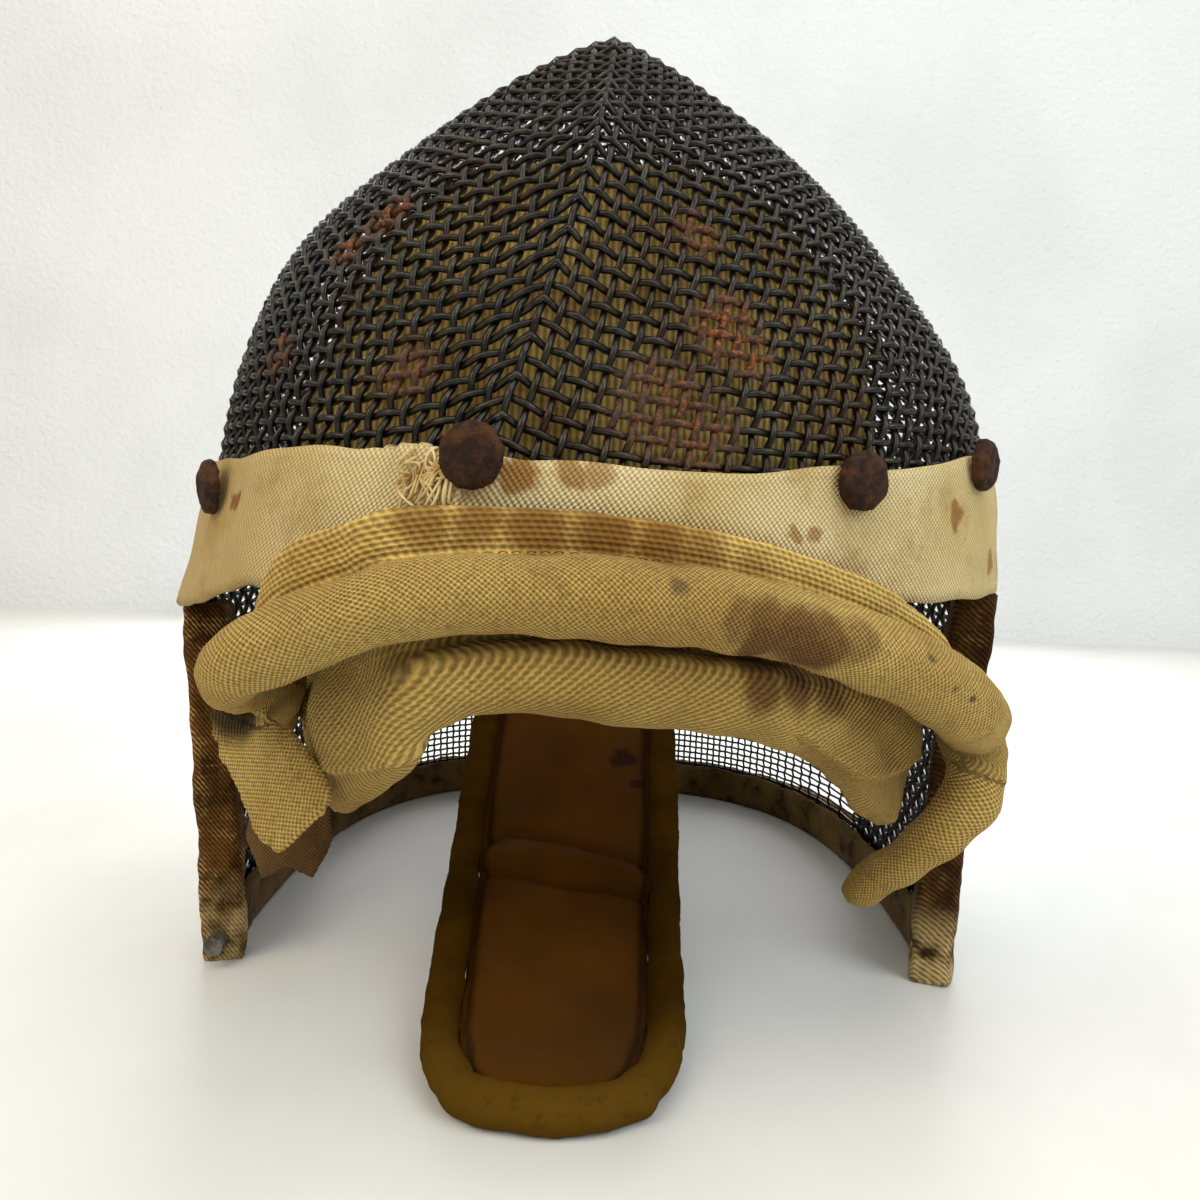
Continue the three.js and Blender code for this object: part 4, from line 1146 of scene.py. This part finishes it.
def build_tongue():
    mesh = remeshed("tongue_pad", 1.15, 12)
    p = read_points(mesh)
    half = PAD_SPREAD * at_rows(PAD_HALF, p[:, 1])
    p[:, 0] = PAD_MID + (p[:, 0] - PAD_MID) * PAD_SPREAD
    p[:, 1] -= PAD_TIP * step(-p[:, 1], 48, 60)
    write_points(mesh, p)
    n = read_normals(mesh)
    edge = half - np.abs(p[:, 0] - PAD_MID)
    seam = np.exp(-((edge - 2.4) / 0.8) ** 2)
    top = np.clip(n[:, 2] * 1.6, 0, 1)
    fold = -2.2 * crease_depth(p, FOLD_NEAR, 1.4) - 2.0 * crease_depth(p, FOLD_FAR, 1.5)
    middle = [(x, (y + at_rows(FOLD_FAR, x)) / 2) for x, y in FOLD_NEAR]
    fold += 1.8 * crease_depth(p, middle, 4.0)
    fold -= 0.5 * seam
    p = p + n * (top * (fold + 0.35 * wobble(p, 30, 31) + 0.12 * wobble(p, 9, 32)))[:, None]
    write_points(mesh, p)
    set_cloth(mesh, p[:, 0], p[:, 1], seam * top)
    pad = piece("tongue_leather", mesh, "tongue_pad", leather_material())

    mesh = remeshed("tongue_piping", 1.0, 12)
    pushed(mesh, lambda p: PIPING_FULL + 0.25 * wobble(p, 14, 41) + 0.12 * wobble(p, 5, 42))
    m = Mat("olive_suede")
    m.base(m.patches(40, 5, 0.65, 0.3, 0.7), (76, 50, 6), (54, 35, 4))
    m.tint(m.ramp(m.axis(1), -60, -100, 0, 0.7), (96, 69, 20))
    m.tint(m.patches(300, 3, 0.7, 0.52, 0.72, 0.4), (48, 32, 6))
    m.bump(m.noise(1400, 3, 0.7), 0.25, 0.7)
    m.bump(m.noise(260, 3), 0.3, 0.5)
    material = m.finish(0.95, Specular_IOR_Level=0.01)
    edge = piece("tongue_suede_edge", mesh, "tongue_piping", material)


TABLE_GAP = 1.0
CROWN_MIDDLE_Y, CROWN_RADIUS = 60, 96


def uneven_tape(mesh, *rows):
    """Roughens a tape except where it lies on the table."""
    return pushed(mesh, lambda p: np.where(p[:, 2] > TABLE_GAP, rough(p, *rows), 0.0))


def crown_material():
    m = Mat("dark_tape")
    u, v, _ = m.cloth()
    twill = m.twill(u, v, 1.0)
    m.base(m.patches(45, 5, 0.65, 0.35, 0.65), (124, 98, 52), (86, 64, 30))
    m.tint(m.patches(90, 4, 0.7, 0.52, 0.66, 0.8), (34, 24, 12))
    m.tint(m.ramp(twill, 0.6, 0.1, 0, 0.4), (30, 21, 11))
    m.bump(twill, 0.3, 0.7)
    m.bump(m.noise(420, 4, 0.7), 0.35, 0.6)
    return m.finish(0.9, Sheen_Weight=0.06, Specular_IOR_Level=0.05)


def jaw_material():
    """Rust-stained twill, paler toward the tips and darker on the right."""
    m = Mat("jaw_tape")
    u, v, _ = m.cloth()
    twill = m.twill(u, v, 1.3)
    worn = m.math("MULTIPLY", m.patches(110, 5, 0.7, 0.5, 0.62), m.ramp(twill, 0.35, 0.8))
    pale = m.math("MULTIPLY", m.ramp(m.axis(2), 26, 6), m.patches(90, 4, 0.55, 0.4, 0.6))
    m.base(m.patches(60, 5, 0.7, 0.38, 0.6), (112, 74, 28), (62, 34, 8))
    m.tint(worn, (168, 132, 74))
    m.tint(m.ramp(m.axis(0), 0, 40, 0, 0.6), (48, 29, 9))
    m.tint(pale, (206, 176, 118))
    m.tint(m.patches(140, 4, 0.7, 0.52, 0.66, 0.7), (46, 24, 6))
    m.tint(m.ramp(twill, 0.6, 0.1, 0, 0.6), (36, 20, 6))
    m.bump(twill, 0.5, 0.9)
    m.bump(m.noise(500, 4, 0.7), 0.3, 0.5)
    return m.finish(0.92, Sheen_Weight=0.06, Specular_IOR_Level=0.05)


def build_tapes():
    mesh = remeshed("crown_binding", 0.95, 5)
    flat = read_points(mesh)
    angle = np.arctan2(flat[:, 0], CROWN_MIDDLE_Y - flat[:, 1])
    p = uneven_tape(mesh, (0.3, 12, 51), (0.14, 4, 52))
    set_cloth(mesh, angle * CROWN_RADIUS, p[:, 2])
    crown = piece("crown_tape", mesh, "crown_binding", crown_material())
    stained = jaw_material()
    for side in ("left", "right"):
        mesh = remeshed("jaw_binding_" + side, 0.9, 6)
        p = uneven_tape(mesh, (0.35, 13, 61), (0.14, 4, 62))
        set_cloth(mesh, p[:, 0] + p[:, 1], p[:, 2])
        tape = piece("jaw_tape_" + side, mesh, "jaw_binding_" + side, stained)


HEAD_MIDDLE = np.array([0.0, 30.0, 120.0])
# How far the backs of the right-hand domes are drawn in to meet the band
RIVET_SINK = {"rivet_right": 0.95, "rivet_right_edge": 0.45}


def build_rivets():
    m = Mat("rusted_iron")
    m.base(m.patches(700, 4, 0.7, 0.4, 0.65), (34, 19, 10), (62, 36, 16))
    m.tint(m.patches(180, 4, 0.6, 0.5, 0.68, 0.45), (98, 56, 20))
    m.bump(m.noise(900, 4, 0.7), 0.5, 0.8)
    rust = m.finish(0.85, Specular_IOR_Level=0.25)
    for node in ("rivet_left_edge", "rivet_chin", "rivet_right", "rivet_right_edge"):
        mesh = remeshed(node, 0.4, 8)
        p = read_points(mesh)
        centre = p.mean(0)
        axis = np.linalg.svd(p - centre, full_matrices=False)[2][2]
        axis = axis * np.sign(axis @ (centre - HEAD_MIDDLE))
        back = step(-((p - centre) @ axis), 0.3, 0.9)
        p = pushed(mesh, lambda q: rough(q, (0.12, 3.0, 71), (0.06, 1.2, 72)))
        write_points(mesh, p - axis * (RIVET_SINK.get(node, 0.0) * back)[:, None])
        piece(node + "_dome", mesh, node, rust)
    m = Mat("dull_steel")
    tone = m.patches(300, 4, 0.6, 0.35, 0.65)
    m.bump(m.noise(1200, 3), 0.15, 0.5)
    m.base(tone, (120, 118, 112), (80, 74, 66))
    steel = m.finish(m.ramp(tone, 0, 1, 0.4, 0.6), Metallic=0.7)
    for node in ("tip_pin_left", "tongue_anchor"):
        assign(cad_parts[node], steel)


def build_scrap():
    mesh = remeshed("lining_scrap", 0.6, 3)
    p = pushed(mesh, lambda q: 0.4 * wobble(q, 9, 81))
    set_cloth(mesh, p[:, 0], p[:, 2])
    material = canvas_material("scrap_cloth", (136, 102, 54), (96, 66, 30), 0.45, (66, 40, 18))
    scrap = piece("torn_scrap", mesh, "lining_scrap", material)


# Stage in metres: half the floor's width, the wall's place and its foot
STAGE, WALL_Y, WALL_FOOT = 4, 0.62, -0.2
LIGHTS = [
    # name, place, target, size, power, colour
    ("left_window", (-0.8, -0.7, 1.0), (0, 0, 0.1), (0.9, 0.7), 8.0, (1.0, 0.9, 0.68)),
    ("right_window", (0.9, -0.7, 0.9), (0, 0, 0.1), (0.9, 0.7), 8.5, (0.86, 0.94, 1.0)),
    ("rear_fill", (0.0, 0.6, 0.3), (0, 0, 0.3), (0.8, 0.4), 3.5, (0.95, 0.97, 1.0)),
    ("overhead", (0.1, -0.25, 1.4), (0, 0, 0.1), (1.2, 1.0), 8.0, (1.0, 0.98, 0.94)),
]
ROOM_COLOUR, ROOM_POWER = (0.93, 0.96, 1.0, 1.0), 0.5
CAMERA_AT, CAMERA_DOWN, CAMERA_ROLL = np.array([2.22, -245.0, 121.0]), 6.1, 2.0
LENS, SENSOR, NEAR_CLIP = 30.0, 36.0, 0.01


def build_stage():
    def plane(name, corners, material):
        mesh = bpy.data.meshes.new(name)
        mesh.from_pydata(corners, [], [(0, 1, 2, 3)])
        obj = bpy.data.objects.new(name, mesh)
        bpy.context.scene.collection.objects.link(obj)
        assign(obj, material)

    m = Mat("pale_table")
    m.base(m.patches(9, 4, 0.55, 0.35, 0.7), (226, 225, 220), (218, 217, 212))
    near, far = [(-STAGE, -STAGE, 0), (STAGE, -STAGE, 0)], [(STAGE, WALL_Y, 0), (-STAGE, WALL_Y, 0)]
    plane("floor", near + far, m.finish(0.5, Specular_IOR_Level=0.3))
    m = Mat("pale_plaster")
    m.bump(m.noise(190, 4, 0.6), 2.2, 0.9)
    m.base(m.patches(5, 3, 0.55, 0.35, 0.7), (228, 229, 229), (220, 221, 221))
    low = [(-STAGE, WALL_Y, WALL_FOOT), (STAGE, WALL_Y, WALL_FOOT)]
    high = [(STAGE, WALL_Y, STAGE), (-STAGE, WALL_Y, STAGE)]
    plane("wall", low + high, m.finish(0.9, Specular_IOR_Level=0.1))


def build_light_and_camera():
    scene = bpy.context.scene
    world = bpy.data.worlds.new("soft_room")
    scene.world = world
    world.use_nodes = True
    world.node_tree.nodes["Background"].inputs[0].default_value = ROOM_COLOUR
    world.node_tree.nodes["Background"].inputs[1].default_value = ROOM_POWER
    for name, place, target, size, power, colour in LIGHTS:
        data = bpy.data.lights.new(name, "AREA")
        data.shape = "RECTANGLE"
        data.size, data.size_y = size
        data.energy = power
        data.color = colour
        obj = bpy.data.objects.new(name, data)
        scene.collection.objects.link(obj)
        obj.location = place
        obj.rotation_euler = (Vector(target) - Vector(place)).to_track_quat("-Z", "Y").to_euler()
        obj.visible_camera = False
    data = bpy.data.cameras.new("camera")
    data.sensor_width = SENSOR
    data.lens = LENS
    data.clip_start = NEAR_CLIP
    camera = bpy.data.objects.new("camera", data)
    scene.collection.objects.link(camera)
    tilt = Matrix.Rotation(math.radians(90 - CAMERA_DOWN), 4, "X")
    turn = tilt @ Matrix.Rotation(math.radians(CAMERA_ROLL), 4, "Z")
    camera.matrix_world = Matrix.Translation(Vector((CAMERA_AT - SHIFT) * 0.001)) @ turn
    scene.camera = camera
    scene.view_settings.view_transform = "Standard"


build_wires()
build_band()
build_frays()
build_roll()
build_inner()
build_lining()
build_tongue()
build_tapes()
build_rivets()
build_scrap()
build_stage()
build_light_and_camera()
